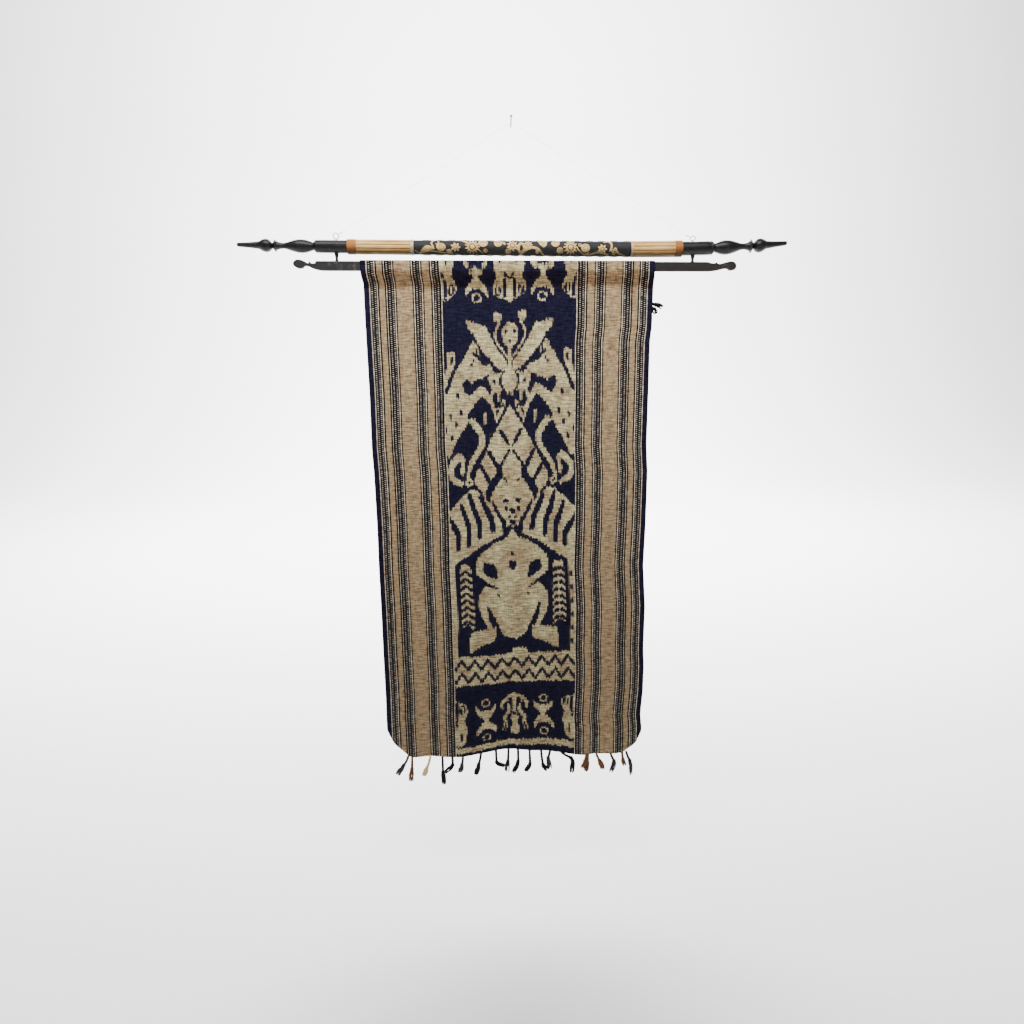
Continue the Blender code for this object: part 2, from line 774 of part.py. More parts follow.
def fold_forward(x, z):
    """How far the hanging cloth swells towards the front at a place on its front face."""
    forward = 0.0
    for _, centre, half_width, top, foot, depth in FOLDS:
        across = math.exp(-(((x - centre * MM) / (half_width * MM)) ** 2))
        ease = FOLD_EASE_SHARE * (foot - top) * MM + FOLD_EASE
        start = float(smoothstep((-z - top * MM) / ease))
        finish = float(smoothstep((foot * MM + z) / ease))
        forward += depth * MM * across * start * finish
    return forward


def edge_at(z):
    below, left, right = np.array(CLOTH_EDGES, float).T
    return (
        float(np.interp(-z / MM, below, left)) * MM,
        float(np.interp(-z / MM, below, right)) * MM,
    )


def hem_at(x):
    across, below = np.array(FRONT_HEM, float).T
    return -float(np.interp(x / MM, across, below)) * MM


def drape(across, length, profile):
    """The place of the cloth's middle surface; across runs 0 to 1 from left to right selvedge."""
    lengths, path_y, path_z = profile
    y = float(np.interp(length, lengths, path_y))
    z = float(np.interp(length, lengths, path_z))
    left, right = edge_at(z)
    x = left + (right - left) * across
    ease = float(smoothstep((FRONT_HEM_Z + HEM_EASE_LENGTH - z) / HEM_EASE_LENGTH))
    z += drop_at(x) * (1.0 - ease) + (hem_at(x) - FRONT_HEM_Z) * ease
    y -= fold_forward(x, z)
    return Vector((x, y, z))


def curl_corner(bm, name, side_z, hem_x):
    """Rolls one lower corner of the cloth back behind it, round a slanting line."""
    side_x = edge_at(side_z)[0 if name == "left" else 1]
    start = Vector((side_x, 0, side_z))
    finish = Vector((hem_x, 0, hem_at(hem_x)))
    along = (finish - start).normalized()
    outward = Vector((-along.z, 0, along.x))
    if outward.x * (1 if name == "right" else -1) < 0:
        outward.negate()
    start = start - outward * CORNER_CURL_RADIUS
    half_turn = math.pi * CORNER_CURL_RADIUS
    for i in range(CORNER_CURL_STEPS + 1):
        near = [
            face
            for face in bm.faces
            if abs(face.calc_center_median().x - side_x) < CORNER_REACH
            and face.calc_center_median().z < side_z + CORNER_ABOVE
        ]
        geom = set(near)
        for face in near:
            geom.update(face.edges)
            geom.update(face.verts)
        offset = half_turn * i / CORNER_CURL_STEPS
        bmesh.ops.bisect_plane(
            bm,
            geom=list(geom),
            dist=WELD,
            plane_co=start + outward * offset,
            plane_no=outward,
        )
    for vert in bm.verts:
        past = (Vector((vert.co.x, 0, vert.co.z)) - start).dot(outward)
        beside = abs(vert.co.x - side_x) > CORNER_REACH or vert.co.z > side_z + CORNER_ABOVE
        if past <= WELD or beside:
            continue
        turn = min(past, half_turn) / CORNER_CURL_RADIUS
        flat = max(0.0, past - half_turn)
        shift = CORNER_CURL_RADIUS * math.sin(turn) - flat - past
        vert.co += outward * shift
        vert.co.y += CORNER_CURL_RADIUS * (1.0 - math.cos(turn))


def lower_edge(bm):
    """The points of the front hem between the two curled corners, left to right."""
    left, right = FRONT_STRIP_ENDS
    points = []
    for vert in bm.verts:
        on_hem = vert.is_boundary and vert.co.z < FRONT_HEM_Z + HEM_ABOVE
        if on_hem and left - HEM_MARGIN < vert.co.x < right + HEM_MARGIN:
            points.append(vert.co.copy())
    return sorted(points, key=lambda point: point.x)


def build_cloth():
    profile = drape_profile()
    lengths = profile[0]
    over_bar, tuck = CLOTH_ROWS
    rows = [lengths[i] for i in over_bar + tuck]
    rows += list(np.linspace(lengths[-2], lengths[-1], FRONT_ROWS + 1))
    bm = bmesh.new()
    bmesh.ops.create_grid(bm, x_segments=CLOTH_COLUMNS, y_segments=len(rows) - 1, size=0.5)
    for vert in bm.verts:
        row = round((vert.co.y + 0.5) * (len(rows) - 1))
        vert.co = drape(vert.co.x + 0.5, rows[row], profile)
    for name, below, across in CORNERS:
        curl_corner(bm, name, -below * MM, across * MM)
    bmesh.ops.triangulate(bm, faces=[face for face in bm.faces if len(face.verts) > 4])
    hem = lower_edge(bm)
    mesh = bpy.data.meshes.new("cloth")
    bm.to_mesh(mesh)
    bm.free()
    obj = add_object("cloth", mesh, "ikat_cotton")
    mesh.shade_smooth()
    solidify = obj.modifiers.new("Thickness", "SOLIDIFY")
    solidify.thickness = CLOTH_THICK
    solidify.offset = 0.0
    return hem


# Fringe


def grow(bm, face, signs, centre, width, depth, direction):
    """Extrudes a four-sided face to a new section across the given direction in the XZ plane."""
    made = bmesh.ops.extrude_discrete_faces(bm, faces=[face])
    face = made["faces"][0]
    side = Vector((-direction.z, 0, direction.x)).normalized()
    for vert, (sx, sy) in zip(face.verts, signs):
        vert.co = centre + side * (sx * width / 2) + Vector((0, sy * depth / 2, 0))
    return face


def build_strip(ends, tassels, edge_point, corners):
    """A narrow strip under a hem, cut at each tassel's root and at each corner of the hem."""
    roots = [row[0] * MM for row in tassels]
    cuts = {ends[0], ends[1]}
    for root in roots:
        cuts.update((root - TASSEL_ROOT / 2, root + TASSEL_ROOT / 2))
    for x in corners:
        clear = min(abs(x - root) for root in roots) > TASSEL_ROOT / 2 + STRIP_SHORTEST
        if clear and ends[0] + STRIP_SHORTEST < x < ends[1] - STRIP_SHORTEST:
            cuts.add(x)
    filled = sorted(cuts)
    bm = bmesh.new()
    bmesh.ops.create_cube(bm, size=1.0)
    first, second = filled[0], filled[1]
    for vert in bm.verts:
        x = first if vert.co.x < 0 else second
        edge = edge_point(x)
        low = -STRIP_HEIGHT if vert.co.z < 0 else 0.0
        side = math.copysign(STRIP_THICK / 2, vert.co.y)
        vert.co = Vector((x, edge.y + side, edge.z - GAP + low))
    face = max(bm.faces, key=lambda item: item.calc_center_median().x)
    for x in filled[2:]:
        made = bmesh.ops.extrude_discrete_faces(bm, faces=[face])
        face = made["faces"][0]
        before = face.calc_center_median().copy()
        here = edge_point(x)
        for vert in face.verts:
            low = -STRIP_HEIGHT if vert.co.z < before.z else 0.0
            side = math.copysign(STRIP_THICK / 2, vert.co.y - before.y)
            vert.co = Vector((x, here.y + side, here.z - GAP + low))
    return bm


def tassel_path(row, root):
    """Points from root to end, through the bend, as a soft curve."""
    _, bend_x, bend_drop, end_x, end_drop, forward = row
    bend = Vector((bend_x * MM, root.y - forward / 3 * MM, root.z - bend_drop * MM))
    end = Vector((end_x * MM, root.y - forward * MM, root.z - end_drop * MM))
    start_pull = root.lerp(bend, 0.5)
    start_pull.x = (root.x + start_pull.x) / 2
    points = []
    for i in range(TASSEL_PATH_STEPS + 1):
        t = i / TASSEL_PATH_STEPS
        if t < 0.5:
            s = t * 2
            middle = start_pull
            point = root.lerp(middle, s).lerp(middle.lerp(bend, s), s)
        else:
            s = t * 2 - 1
            middle = bend + (bend - start_pull) * 0.5
            point = bend.lerp(middle, s).lerp(middle.lerp(end, s), s)
        points.append(point)
    return points


def along_path(points, share):
    lengths = [0.0]
    for a, b in zip(points, points[1:]):
        lengths.append(lengths[-1] + (b - a).length)
    target = share * lengths[-1]
    for i in range(len(points) - 1):
        if target <= lengths[i + 1] + 1e-9:
            step = lengths[i + 1] - lengths[i]
            local = (target - lengths[i]) / step
            return points[i].lerp(points[i + 1], local), (points[i + 1] - points[i]).normalized()
    return points[-1], (points[-1] - points[-2]).normalized()


def add_tassels(bm, tassels, edge_point):
    for row in tassels:
        root_x = row[0] * MM
        under = [
            face
            for face in bm.faces
            if len(face.verts) == 4 and face.normal.z < -0.5 and abs(face.normal.x) < 0.6
        ]
        face = min(under, key=lambda item: abs(item.calc_center_median().x - root_x))
        centre = face.calc_center_median()
        signs = [
            (1 if vert.co.x > centre.x else -1, 1 if vert.co.y > centre.y else -1)
            for vert in face.verts
        ]
        points = tassel_path(row, centre)
        for share, width, depth in TASSEL_SECTIONS:
            place, direction = along_path(points, share)
            face = grow(bm, face, signs, place, width * MM, depth * MM, direction)


def build_fringe(name, ends, tassels, edge_point, corners):
    bm = build_strip(ends, tassels, edge_point, corners)
    bm.normal_update()
    add_tassels(bm, tassels, edge_point)
    return object_from_bmesh(name, bm, "fringe_yarn", 30)


def back_tassel_rows():
    """Even tassels along the back hem, each swung a little, and the two that show past the edge."""
    draw = random.Random(BACK_TASSEL_SEED)
    first, last = BACK_STRIP_ENDS
    rows = []
    x = first + BACK_TASSEL_MARGINS[0]
    while x < last - BACK_TASSEL_MARGINS[1]:
        drop = draw.uniform(*BACK_TASSEL_DROP)
        swing = draw.uniform(-BACK_TASSEL_SWING, BACK_TASSEL_SWING)
        bend = x + swing * draw.uniform(0.1, 0.6)
        rows.append((x / MM, bend / MM, drop / MM * 0.5, (x + swing) / MM, drop / MM, 0))
        x += BACK_TASSEL_PITCH
    return rows + list(BACK_SIDE_TASSELS)


def build_fringes(hem):
    across = [point.x for point in hem]

    def front_edge(x):
        y = np.interp(x, across, [point.y for point in hem])
        z = np.interp(x, across, [point.z for point in hem])
        return Vector((x, y, z))

    def back_edge(x):
        reach = BAR_THICK / 2 + CLOTH_OFF_BAR + CLOTH_THICK / 2
        return Vector((x, HANGER_Y + reach, BACK_HEM_Z + drop_at(x)))

    build_fringe("fringe_front", FRONT_STRIP_ENDS, FRONT_TASSELS, front_edge, across)
    build_fringe("fringe_back", BACK_STRIP_ENDS, back_tassel_rows(), back_edge, ())


clear_scene()
PIECES = new_collection("ikat_cloth_on_hanging_pole")
CUTTERS = new_collection("cutters")
MATERIALS = make_materials()

pole_left, pole_right = build_pole()
flat_bar = build_flat_bar()
for (peg_name, peg_x), pole_end in zip(PEGS, (pole_left, pole_right)):
    build_peg(peg_name, peg_x, pole_end, flat_bar)
for (eye_name, eye_x, eye_turn, eye_lean), pole_end in zip(EYES, (pole_left, pole_right)):
    build_eye(eye_name, eye_x, eye_turn, eye_lean, pole_end)
build_nail()
build_line()
build_fringes(build_cloth())
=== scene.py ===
# The looks of a warp-ikat cloth with a knotted fringe, draped over the flat bar of a turned
# and carved hanging pole that hangs by a thin clear line from one wall nail.
# Metres, +Z up, the front of the cloth faces -Y. Tables whose rows are in millimetres say so.

import math
import random

import bmesh
import bpy
import numpy as np
from mathutils import Matrix, Vector


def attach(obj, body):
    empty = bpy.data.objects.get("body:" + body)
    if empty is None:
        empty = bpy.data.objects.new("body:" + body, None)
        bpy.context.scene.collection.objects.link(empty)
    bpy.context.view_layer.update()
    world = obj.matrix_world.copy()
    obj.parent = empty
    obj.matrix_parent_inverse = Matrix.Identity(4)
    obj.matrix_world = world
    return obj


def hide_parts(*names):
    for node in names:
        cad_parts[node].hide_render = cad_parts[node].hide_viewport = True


MM = 0.001
BODY = "root"

# The hanger
HANGER_X = 0.009
HANGER_Y = -0.018
HANGER_TILT = 0.0095
POLE_TILT = 0.0142
POLE_END_RISES = (0.003, 0.016)
POLE_HALF = 0.59605
POLE_Z = -0.2473
POLE_GIRTH_GAIN = 0.14
POLE_GIRTH_ENDS = (-0.24, 0.40)
POLE_TIPS = (-0.588, 0.6041)
BAR_Z = -0.2847
BAR_HEIGHT = 0.0202
BAR_THICK = 0.010
SHAFT_RADIUS = 0.0137
TURNED_PROFILE = (
    # from tip mm, radius mm, sharp
    (0.0, 0.0, True), (1.5, 3.1, False), (5.0, 4.4, False), (26.0, 5.8, False), (46.0, 7.8, True),
    (50.0, 9.6, False), (55.5, 12.6, False), (62.5, 13.9, False), (69.0, 12.2, False), (73.0, 8.6, False),
    (75.4, 5.5, True), (78.6, 9.0, False), (81.5, 13.4, True), (84.6, 9.6, False), (90.0, 7.4, False),
    (97.5, 6.1, False), (106.0, 7.4, False), (117.0, 11.0, False), (127.0, 13.5, False),
    (136.5, 14.3, False), (146.0, 13.5, False), (154.5, 11.0, False), (162.0, 8.1, True),
    (164.6, 11.0, False), (168.5, 13.9, True), (171.5, 13.0, True), (175.5, 13.7, True),
    (233.0, 13.7, True), (234.0, 12.7, True), (234.0, 0.0, True),
)
PLAIN_RINGS = (
    # node, start, length, radius, slot
    ("orange_band_left", -0.3537, 0.0190, 0.0160, "orange_wood"),
    ("cream_ring_left", -0.2194, 0.0072, 0.0163, "cream_bone"),
    ("cream_ring_right", 0.2565, 0.0047, 0.0163, "cream_bone"),
    ("orange_band_right", 0.3538, 0.0160, 0.0162, "orange_wood"),
)
REEDED = (
    # node, start, length, radius
    ("reeded_left", -0.3347, 0.1153, 0.0155),
    ("reeded_right", 0.2612, 0.0926, 0.0159),
)
REEDS = 12
REED_DEPTH = 0.0013
CARVED_START = -0.2122
CARVED_LENGTH = 0.4687
CARVED_RADIUS = 0.0162
CARVED_DEPTH = 0.0011
PEGS = (("peg_left", -0.3782), ("peg_right", 0.3947))
EYES = (
    # node, shank's x, ring's middle, turn degrees, lean degrees
    ("screw_eye_left", -0.3772, (-0.3772, -0.018, -0.219787), 18.0, 0.0),
    ("screw_eye_right", 0.3930, (0.394177, -0.014766, -0.228368), -20.0, -35.0),
)
EYE_RADIUS = 0.0060
EYE_WIRE = 0.0010
LINE_ROUTE = (
    # from the left eye over the nail to the right eye
    (-0.374457, -0.017109, -0.217987), (-0.371834, -0.018044, -0.21661), (-0.001339, -0.0045, 0.006423),
    (-0.000696, -0.0045, 0.006699), (-0.000002, -0.0045, 0.006794), (0.000692, -0.0045, 0.006701),
    (0.001335, -0.0045, 0.006425), (0.388698, -0.013128, -0.225881), (0.391342, -0.013096, -0.227511),
)
LINE_RADIUS = 0.0004

# The cloth
CLOTH_THICK = 0.0015
CLOTH_OFF_BAR = 0.002
CLOTH_OVER_BAR = 0.0007
CLOTH_TURN_HEIGHT = 0.007
CLOTH_TURN_POWER = 0.55
CLOTH_REACH = BAR_THICK / 2 + CLOTH_OFF_BAR + CLOTH_THICK / 2
CLOTH_HANG_Y = -0.0168
BACK_HEM_Z = -0.3625
TUCK_TOP_Z = -0.2975
TUCK_FOOT_Z = -0.3300
FRONT_HEM_Z = -1.4490
HEM_EASE_LENGTH = 0.30
CURL_RADIUS = 0.0045
CLOTH_EDGES = (
    # below nail mm, left mm, right mm
    (262, -329.0, 310.3), (300, -328.5, 310.5), (322, -324.5, 309.8), (412, -324.8, 309.0),
    (444, -324.5, 305.4), (564, -323.4, 304.7), (680, -324.5, 303.6), (738, -322.5, 307.7),
    (860, -321.5, 306.6), (965, -322.4, 303.3), (1067, -321.9, 310.0), (1175, -322.2, 308.8),
    (1222, -322.0, 311.4), (1283, -321.8, 310.5), (1348, -322.7, 305.8), (1380, -322.7, 309.1),
    (1460, -322.7, 308.7),
)
FRONT_HEM = (
    # across mm, below nail mm
    (-323, 1446), (-279, 1446), (-255, 1451), (-220, 1447), (-178, 1451), (-138, 1452), (-88, 1445),
    (-46, 1438), (-6, 1437), (37, 1441), (77, 1444), (140, 1456), (168, 1459), (190, 1455), (241, 1459),
    (274, 1456), (309, 1456),
)
FOLDS = (
    # middle mm, half width mm, top mm, foot mm, forward mm
    (-24, 26, 980, 1500, -4.5), (22, 34, 1010, 1500, 3.0), (-205, 90, 520, 1320, 3.5),
    (190, 95, 460, 1250, 3.0), (-10, 120, 430, 900, 2.5), (-150, 55, 1300, 1520, 4.0),
    (165, 60, 1290, 1520, 4.0),
)
CREASES = (
    # start across, start below, end across, end below, half width, forward: mm
    (-12, 880, -50, 972, 7, 2.6), (-50, 972, -34, 1010, 6, 2.2), (-38, 1105, -24, 1128, 6, 2.2),
    (-8, 1000, -16, 1120, 9, 1.2), (-320, 826, 305, 828, 3.0, 0.45), (-22, 1165, -20, 1265, 9, -1.8),
    (150, 1210, 230, 1330, 14, 1.2), (-250, 1230, -205, 1390, 16, 1.4), (70, 1360, 96, 1448, 13, 1.5),
)
CORNERS = (
    # side, side edge below nail mm, hem across mm
    (-1, 1376, -294), (-1, 1398, -272), (1, 1403, 287), (1, 1424, 265),
)

# The woven pattern, in millimetres from the middle warp
PANEL_HALF = 148.0
STRIPE_UNIT = 2.18
STRIPE_SPAN = 78.0
STRIPES = (
    # start in stripe units outside the panel, colour
    (0.0, "light"), (0.8, "dark"), (2.7, "brown"), (7.5, "dark"), (8.5, "light"), (9.3, "dark"),
    (10.7, "tan"), (17.9, "dark"), (19.1, "light"), (19.9, "dark"), (20.4, "brown"), (25.9, "dark"),
    (27.3, "light"), (28.1, "dark"), (29.4, "tan"), (45.2, "dark"), (46.6, "light"), (47.4, "dark"),
    (47.9, "brown"), (53.5, "dark"), (54.6, "light"), (55.4, "dark"), (56.8, "tan"), (62.4, "dark"),
    (63.8, "light"), (64.6, "brown"), (71.5, "light"), (72.3, "navy"),
)
DOT_PITCH = 4.5
WARP_PITCH = 0.95
WEFT_PITCH = 1.7
STRIPE_COLUMNS = (
    # stripe units at which the side of the cloth is divided
    (2.9, 6.2, 9.4, 14.9, 20.2, 23.5, 26.8, 31.5, 36.5, 41.5, 47.4, 50.8, 54.1),
    (57.0, 59.5, 62.0, 64.7, 66.4, 68.1, 69.8, 71.5, 73.6, 75.8, 78.0),
)
PANEL_COLUMNS = 82
HANG_ROW = 3.6
BUNDLE_SLIP = 2.6
LEFT_SAG = (
    # below nail mm, mm that the left half hangs lower
    (262, 3.5), (900, 4.5), (1260, 6.0), (1350, 11.0), (1400, 11.0), (1430, 6.0),
)
CLOTH_COLOURS = {
    "navy": (31, 29, 50),
    "dark": (9, 7, 10),
    "light": (226, 212, 190),
    "tan": (180, 158, 122),
    "brown": (32, 26, 27),
    "cream": (212, 200, 152),
}

# The fringe
FRONT_TASSELS = (
    # root, bend, bend drop, end, end drop, forward: mm; colour
    (-273.5, -285.0, 24, -303.0, 51, 2, "grey"), (-264.5, -266.0, 34, -269.5, 69, 0, "brown"),
    (-218.9, -228.0, 33, -237.1, 57, 1, "beige"), (-189.2, -189.2, 41, -187.9, 80, 0, "black"),
    (-164.3, -164.0, 20, -186.0, 41, 8, "black"), (-138.2, -141.0, 22, -146.9, 44, 2, "grey"),
    (-93.2, -99.0, 30, -107.0, 60, 1, "black"), (-55.7, -55.0, 31, -31.8, 43, 5, "black"),
    (-24.4, -26.0, 34, -29.0, 66, 0, "black"), (-0.7, -0.5, 33, -13.9, 66, 3, "black"),
    (28.1, 29.1, 36, 16.3, 60, 2, "black"), (57.0, 61.0, 38, 73.0, 55, 5, "black"),
    (79.6, 75.0, 20, 81.0, 53, -1, "grey"), (107.2, 130.0, 16, 133.9, 59, 3, "black"),
    (170.6, 168.0, 16, 160.0, 37, 3, "brown"), (174.9, 174.5, 24, 169.8, 50, -1, "brown"),
    (195.6, 203.0, 20, 213.9, 45, 2, "brown"), (232.3, 240.5, 20, 232.5, 54, 2, "grey"),
    (261.5, 264.0, 20, 269.5, 39, 1, "brown"), (272.0, 281.0, 24, 285.7, 67, 1, "grey"),
)
BACK_SIDE_TASSELS = (
    # root, bend, bend drop, end, end drop, forward: mm; colour
    (298.0, 308.0, 11, 322.0, 23, 0, "black"),
    (305.0, 317.0, 4, 334.0, 12, -1, "black"),
)
BACK_TASSEL_ENDS = (-0.3180, 0.3080)
BACK_TASSEL_PITCH = 0.0300
TASSEL_STEPS = 72
TASSEL_BOUND = 0.60
YARN_SIDES = 6
PLY_PITCH = 0.012
PLY_OFFSET = 0.0012
PLY_RADIUS = 0.0021
YARN_RADIUS = 0.0019
KNOT_REACH = 0.0036
KNOT_RADIUS = 0.0016
ROOT_TUCK = 0.002
YARN_COLOURS = {
    "black": (12, 11, 13),
    "grey": (40, 37, 40),
    "brown": (92, 60, 42),
    "beige": (190, 164, 120),
}


# Modelling helpers


def nothing_selected():
    bpy.ops.object.select_all(action="DESELECT")


def dress(piece, name, material, slot, *nodes):
    """Names the finished piece, gives it its material and says which solids it stands for."""
    piece.name = name
    piece.data.name = name
    piece.data.materials.clear()
    piece.data.materials.append(material)
    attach(piece, BODY)
    if nodes:
        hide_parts(*nodes)
    return piece


def face_outward():
    bpy.ops.object.mode_set(mode="EDIT")
    bpy.ops.mesh.select_all(action="SELECT")
    bpy.ops.mesh.normals_make_consistent(inside=False)
    bpy.ops.object.mode_set(mode="OBJECT")


def set_points(mesh, points):
    mesh.vertices.foreach_set("co", np.asarray(points, np.float32).ravel())
    mesh.update()


def points_of(mesh):
    points = np.empty(len(mesh.vertices) * 3, np.float32)
    mesh.vertices.foreach_get("co", points)
    return points.reshape(-1, 3).astype(float)


def carry(mesh, name, values, domain="POINT"):
    """Hangs a number on each point or corner of the mesh, for its finish to read."""
    layer = mesh.attributes.new(name, "FLOAT", domain)
    layer.data.foreach_set("value", np.asarray(values, np.float32).ravel())


def turn_on_lathe(rows, steps, sharp_angle=40):
    """A closed piece turned round the X axis from (along, radius) rows in metres."""
    nothing_selected()
    bpy.ops.mesh.primitive_plane_add(size=0.001)
    bpy.ops.object.mode_set(mode="EDIT")
    bpy.ops.mesh.select_all(action="SELECT")
    bpy.ops.mesh.merge(type="CENTER")
    bpy.ops.transform.translate(value=(rows[0][0], 0, rows[0][1]))
    for (along, radius), (next_along, next_radius) in zip(rows, rows[1:]):
        step = (next_along - along, 0, next_radius - radius)
        bpy.ops.mesh.extrude_vertices_move(TRANSFORM_OT_translate={"value": step})
    bpy.ops.mesh.select_all(action="SELECT")
    bpy.ops.mesh.spin(steps=steps, angle=2 * math.pi, center=(0, 0, 0), axis=(1, 0, 0))
    bpy.ops.mesh.select_all(action="SELECT")
    bpy.ops.mesh.remove_doubles(threshold=0.00001)
    bpy.ops.mesh.normals_make_consistent(inside=False)
    bpy.ops.object.mode_set(mode="OBJECT")
    piece = bpy.context.object
    bpy.ops.object.shade_smooth_by_angle(angle=math.radians(sharp_angle))
    return piece


def curve_place(here, there, pull_in, pull_out, t):
    """A place on the curve from here to there, with the given pulls at its two ends."""
    square = t * t
    cube = square * t
    place = here * (2 * cube - 3 * square + 1) + pull_in * (cube - 2 * square + t)
    return place + there * (3 * square - 2 * cube) + pull_out * (cube - square)


def smooth_rows(rows, steps):
    """Rounds a profile between its rows, and keeps its sharp rows sharp."""
    made = [rows[0][:2]]
    for i in range(len(rows) - 1):
        here = np.array(rows[i][:2])
        there = np.array(rows[i + 1][:2])
        before = here if rows[i][2] else np.array(rows[i - 1][:2])
        after = there if rows[i + 1][2] else np.array(rows[i + 2][:2])
        for k in range(1, steps + 1):
            place = curve_place(here, there, (there - before) * 0.5, (after - here) * 0.5, k / steps)
            made.append((float(place[0]), max(0.0, float(place[1]))))
    return made


def drop_at(x):
    return -HANGER_TILT * (x - HANGER_X)


def pole_axis_z(x):
    share = (x - HANGER_X) / POLE_HALF
    end_rise = np.where(share < 0, POLE_END_RISES[0], POLE_END_RISES[1])
    return POLE_Z - POLE_TILT * (x - HANGER_X) + end_rise * share**4


def girth_at(x):
    left, right = POLE_GIRTH_ENDS
    return 1.0 + POLE_GIRTH_GAIN * (np.clip(x, left, right) - left)


def lay_on_pole(piece):
    """Carries a turned piece from the lathe to the pole; its underside is marked for the painted shade of
    its finish.
    """
    points = points_of(piece.data)
    lean = points[:, 2] / np.maximum(np.hypot(points[:, 1], points[:, 2]), 0.0001)
    carry(piece.data, "underside", smoothstep((0.55 - lean) / 1.5))
    points[:, 1:] *= girth_at(points[:, 0])[:, None]
    points[:, 1] += HANGER_Y
    points[:, 2] += pole_axis_z(points[:, 0])
    set_points(piece.data, points)


def smoothstep(value):
    value = np.clip(value, 0.0, 1.0)
    return value * value * (3.0 - 2.0 * value)


def wave_noise(x, y, seed):
    """A smooth irregular value near -1 to 1, from a few crossed waves."""
    draw = random.Random(seed)
    total = np.zeros(np.broadcast(x, y).shape)
    for _ in range(5):
        heading = draw.uniform(0, 2 * math.pi)
        speed = draw.uniform(0.6, 1.9)
        phase = draw.uniform(0, 2 * math.pi)
        total += np.sin((x * math.cos(heading) + y * math.sin(heading)) * speed + phase)
    return total / 3.0


# Drawing of motifs as distances


class Drawing:
    """A two-tone drawing in millimetres. Its edge value is below zero inside the pale parts."""

    def __init__(self, across, down, edge=None):
        self.across = across
        self.down = down
        self.edge = np.full(across.shape, 12.0) if edge is None else edge

    def about(self, across, down, upside=1, mirrored=True):
        """The same drawing, seen from a motif's own middle and top."""
        moved = self.across - across
        side = np.abs(moved) if mirrored else moved
        return Drawing(side, (self.down - down) * upside, self.edge)

    def near(self, points, reach):
        xs = [x for x, _ in points]
        ys = [y for _, y in points]
        beside = (self.across > min(xs) - reach) & (self.across < max(xs) + reach)
        return beside & (self.down > min(ys) - reach) & (self.down < max(ys) + reach)

    def lay(self, mask, distance, pale):
        if pale:
            self.edge[mask] = np.minimum(self.edge[mask], distance)
        else:
            self.edge[mask] = np.maximum(self.edge[mask], -distance)

    def line(self, points, widths, pale=True):
        """A stroke through the points whose width runs evenly from the first to the last."""
        mask = self.near(points, max(widths) + 12.0)
        if not mask.any():
            return
        x = self.across[mask]
        y = self.down[mask]
        path = rounded_path(points, False)
        count = len(path) - 1
        distance = np.full(x.shape, 99.0)
        for i in range(count):
            (ax, ay), (bx, by) = path[i], path[i + 1]
            span = (bx - ax) ** 2 + (by - ay) ** 2 + 1e-9
            share = np.clip(((x - ax) * (bx - ax) + (y - ay) * (by - ay)) / span, 0, 1)
            gap = np.hypot(x - ax - share * (bx - ax), y - ay - share * (by - ay))
            half = np.interp((i + share) / count, np.linspace(0, 1, len(widths)), widths) / 2
            distance = np.minimum(distance, gap - half)
        self.lay(mask, distance, pale)

    def patch(self, points, pale=True, soft=True):
        """A filled shape; soft rounds its corners."""
        mask = self.near(points, 12.0)
        if not mask.any():
            return
        x = self.across[mask]
        y = self.down[mask]
        path = rounded_path(points, True) if soft else list(points) + [points[0]]
        distance = np.full(x.shape, 99.0)
        inside = np.zeros(x.shape, bool)
        for (ax, ay), (bx, by) in zip(path, path[1:]):
            span = (bx - ax) ** 2 + (by - ay) ** 2 + 1e-9
            share = np.clip(((x - ax) * (bx - ax) + (y - ay) * (by - ay)) / span, 0, 1)
            gap = np.hypot(x - ax - share * (bx - ax), y - ay - share * (by - ay))
            distance = np.minimum(distance, gap)
            crosses = (ay > y) != (by > y)
            inside ^= crosses & (x < ax + (y - ay) * (bx - ax) / (by - ay + 1e-12))
        self.lay(mask, np.where(inside, -distance, distance), pale)

    def oval(self, x, y, half_across, half_down, pale=True):
        mask = self.near([(x, y)], max(half_across, half_down) + 12.0)
        if not mask.any():
            return
        ratio = np.hypot(
            (self.across[mask] - x) / half_across,
            (self.down[mask] - y) / half_down,
        )
        self.lay(mask, (ratio - 1.0) * min(half_across, half_down), pale)

    def cut(self, points, widths):
        """A dark stroke."""
        self.line(points, widths, False)

    def clear(self, points):
        """A dark filled shape."""
        self.patch(points, False)

    def hole(self, x, y, half_across, half_down):
        """A dark oval."""
        self.oval(x, y, half_across, half_down, False)

    def ring(self, x, y, half_across, half_down, width):
        self.oval(x, y, half_across, half_down)
        self.hole(x, y, half_across - width, half_down - width)


def rounded_path(points, closed):
    """Rounds a given path with three steps between its points."""
    if len(points) < 3:
        return [tuple(map(float, point)) for point in points]
    places = [np.array(point, float) for point in points]
    count = len(places)
    spans = count if closed else count - 1
    made = []
    for i in range(spans):
        here = places[i]
        there = places[(i + 1) % count]
        before = places[i - 1] if closed or i else here
        after = places[(i + 2) % count] if closed or i + 2 < count else there
        for k in range(3):
            pulls = ((there - before) * 0.32, (after - here) * 0.32)
            made.append(tuple(curve_place(here, there, *pulls, k / 3)))
    made.append(made[0] if closed else tuple(places[-1]))
    return made


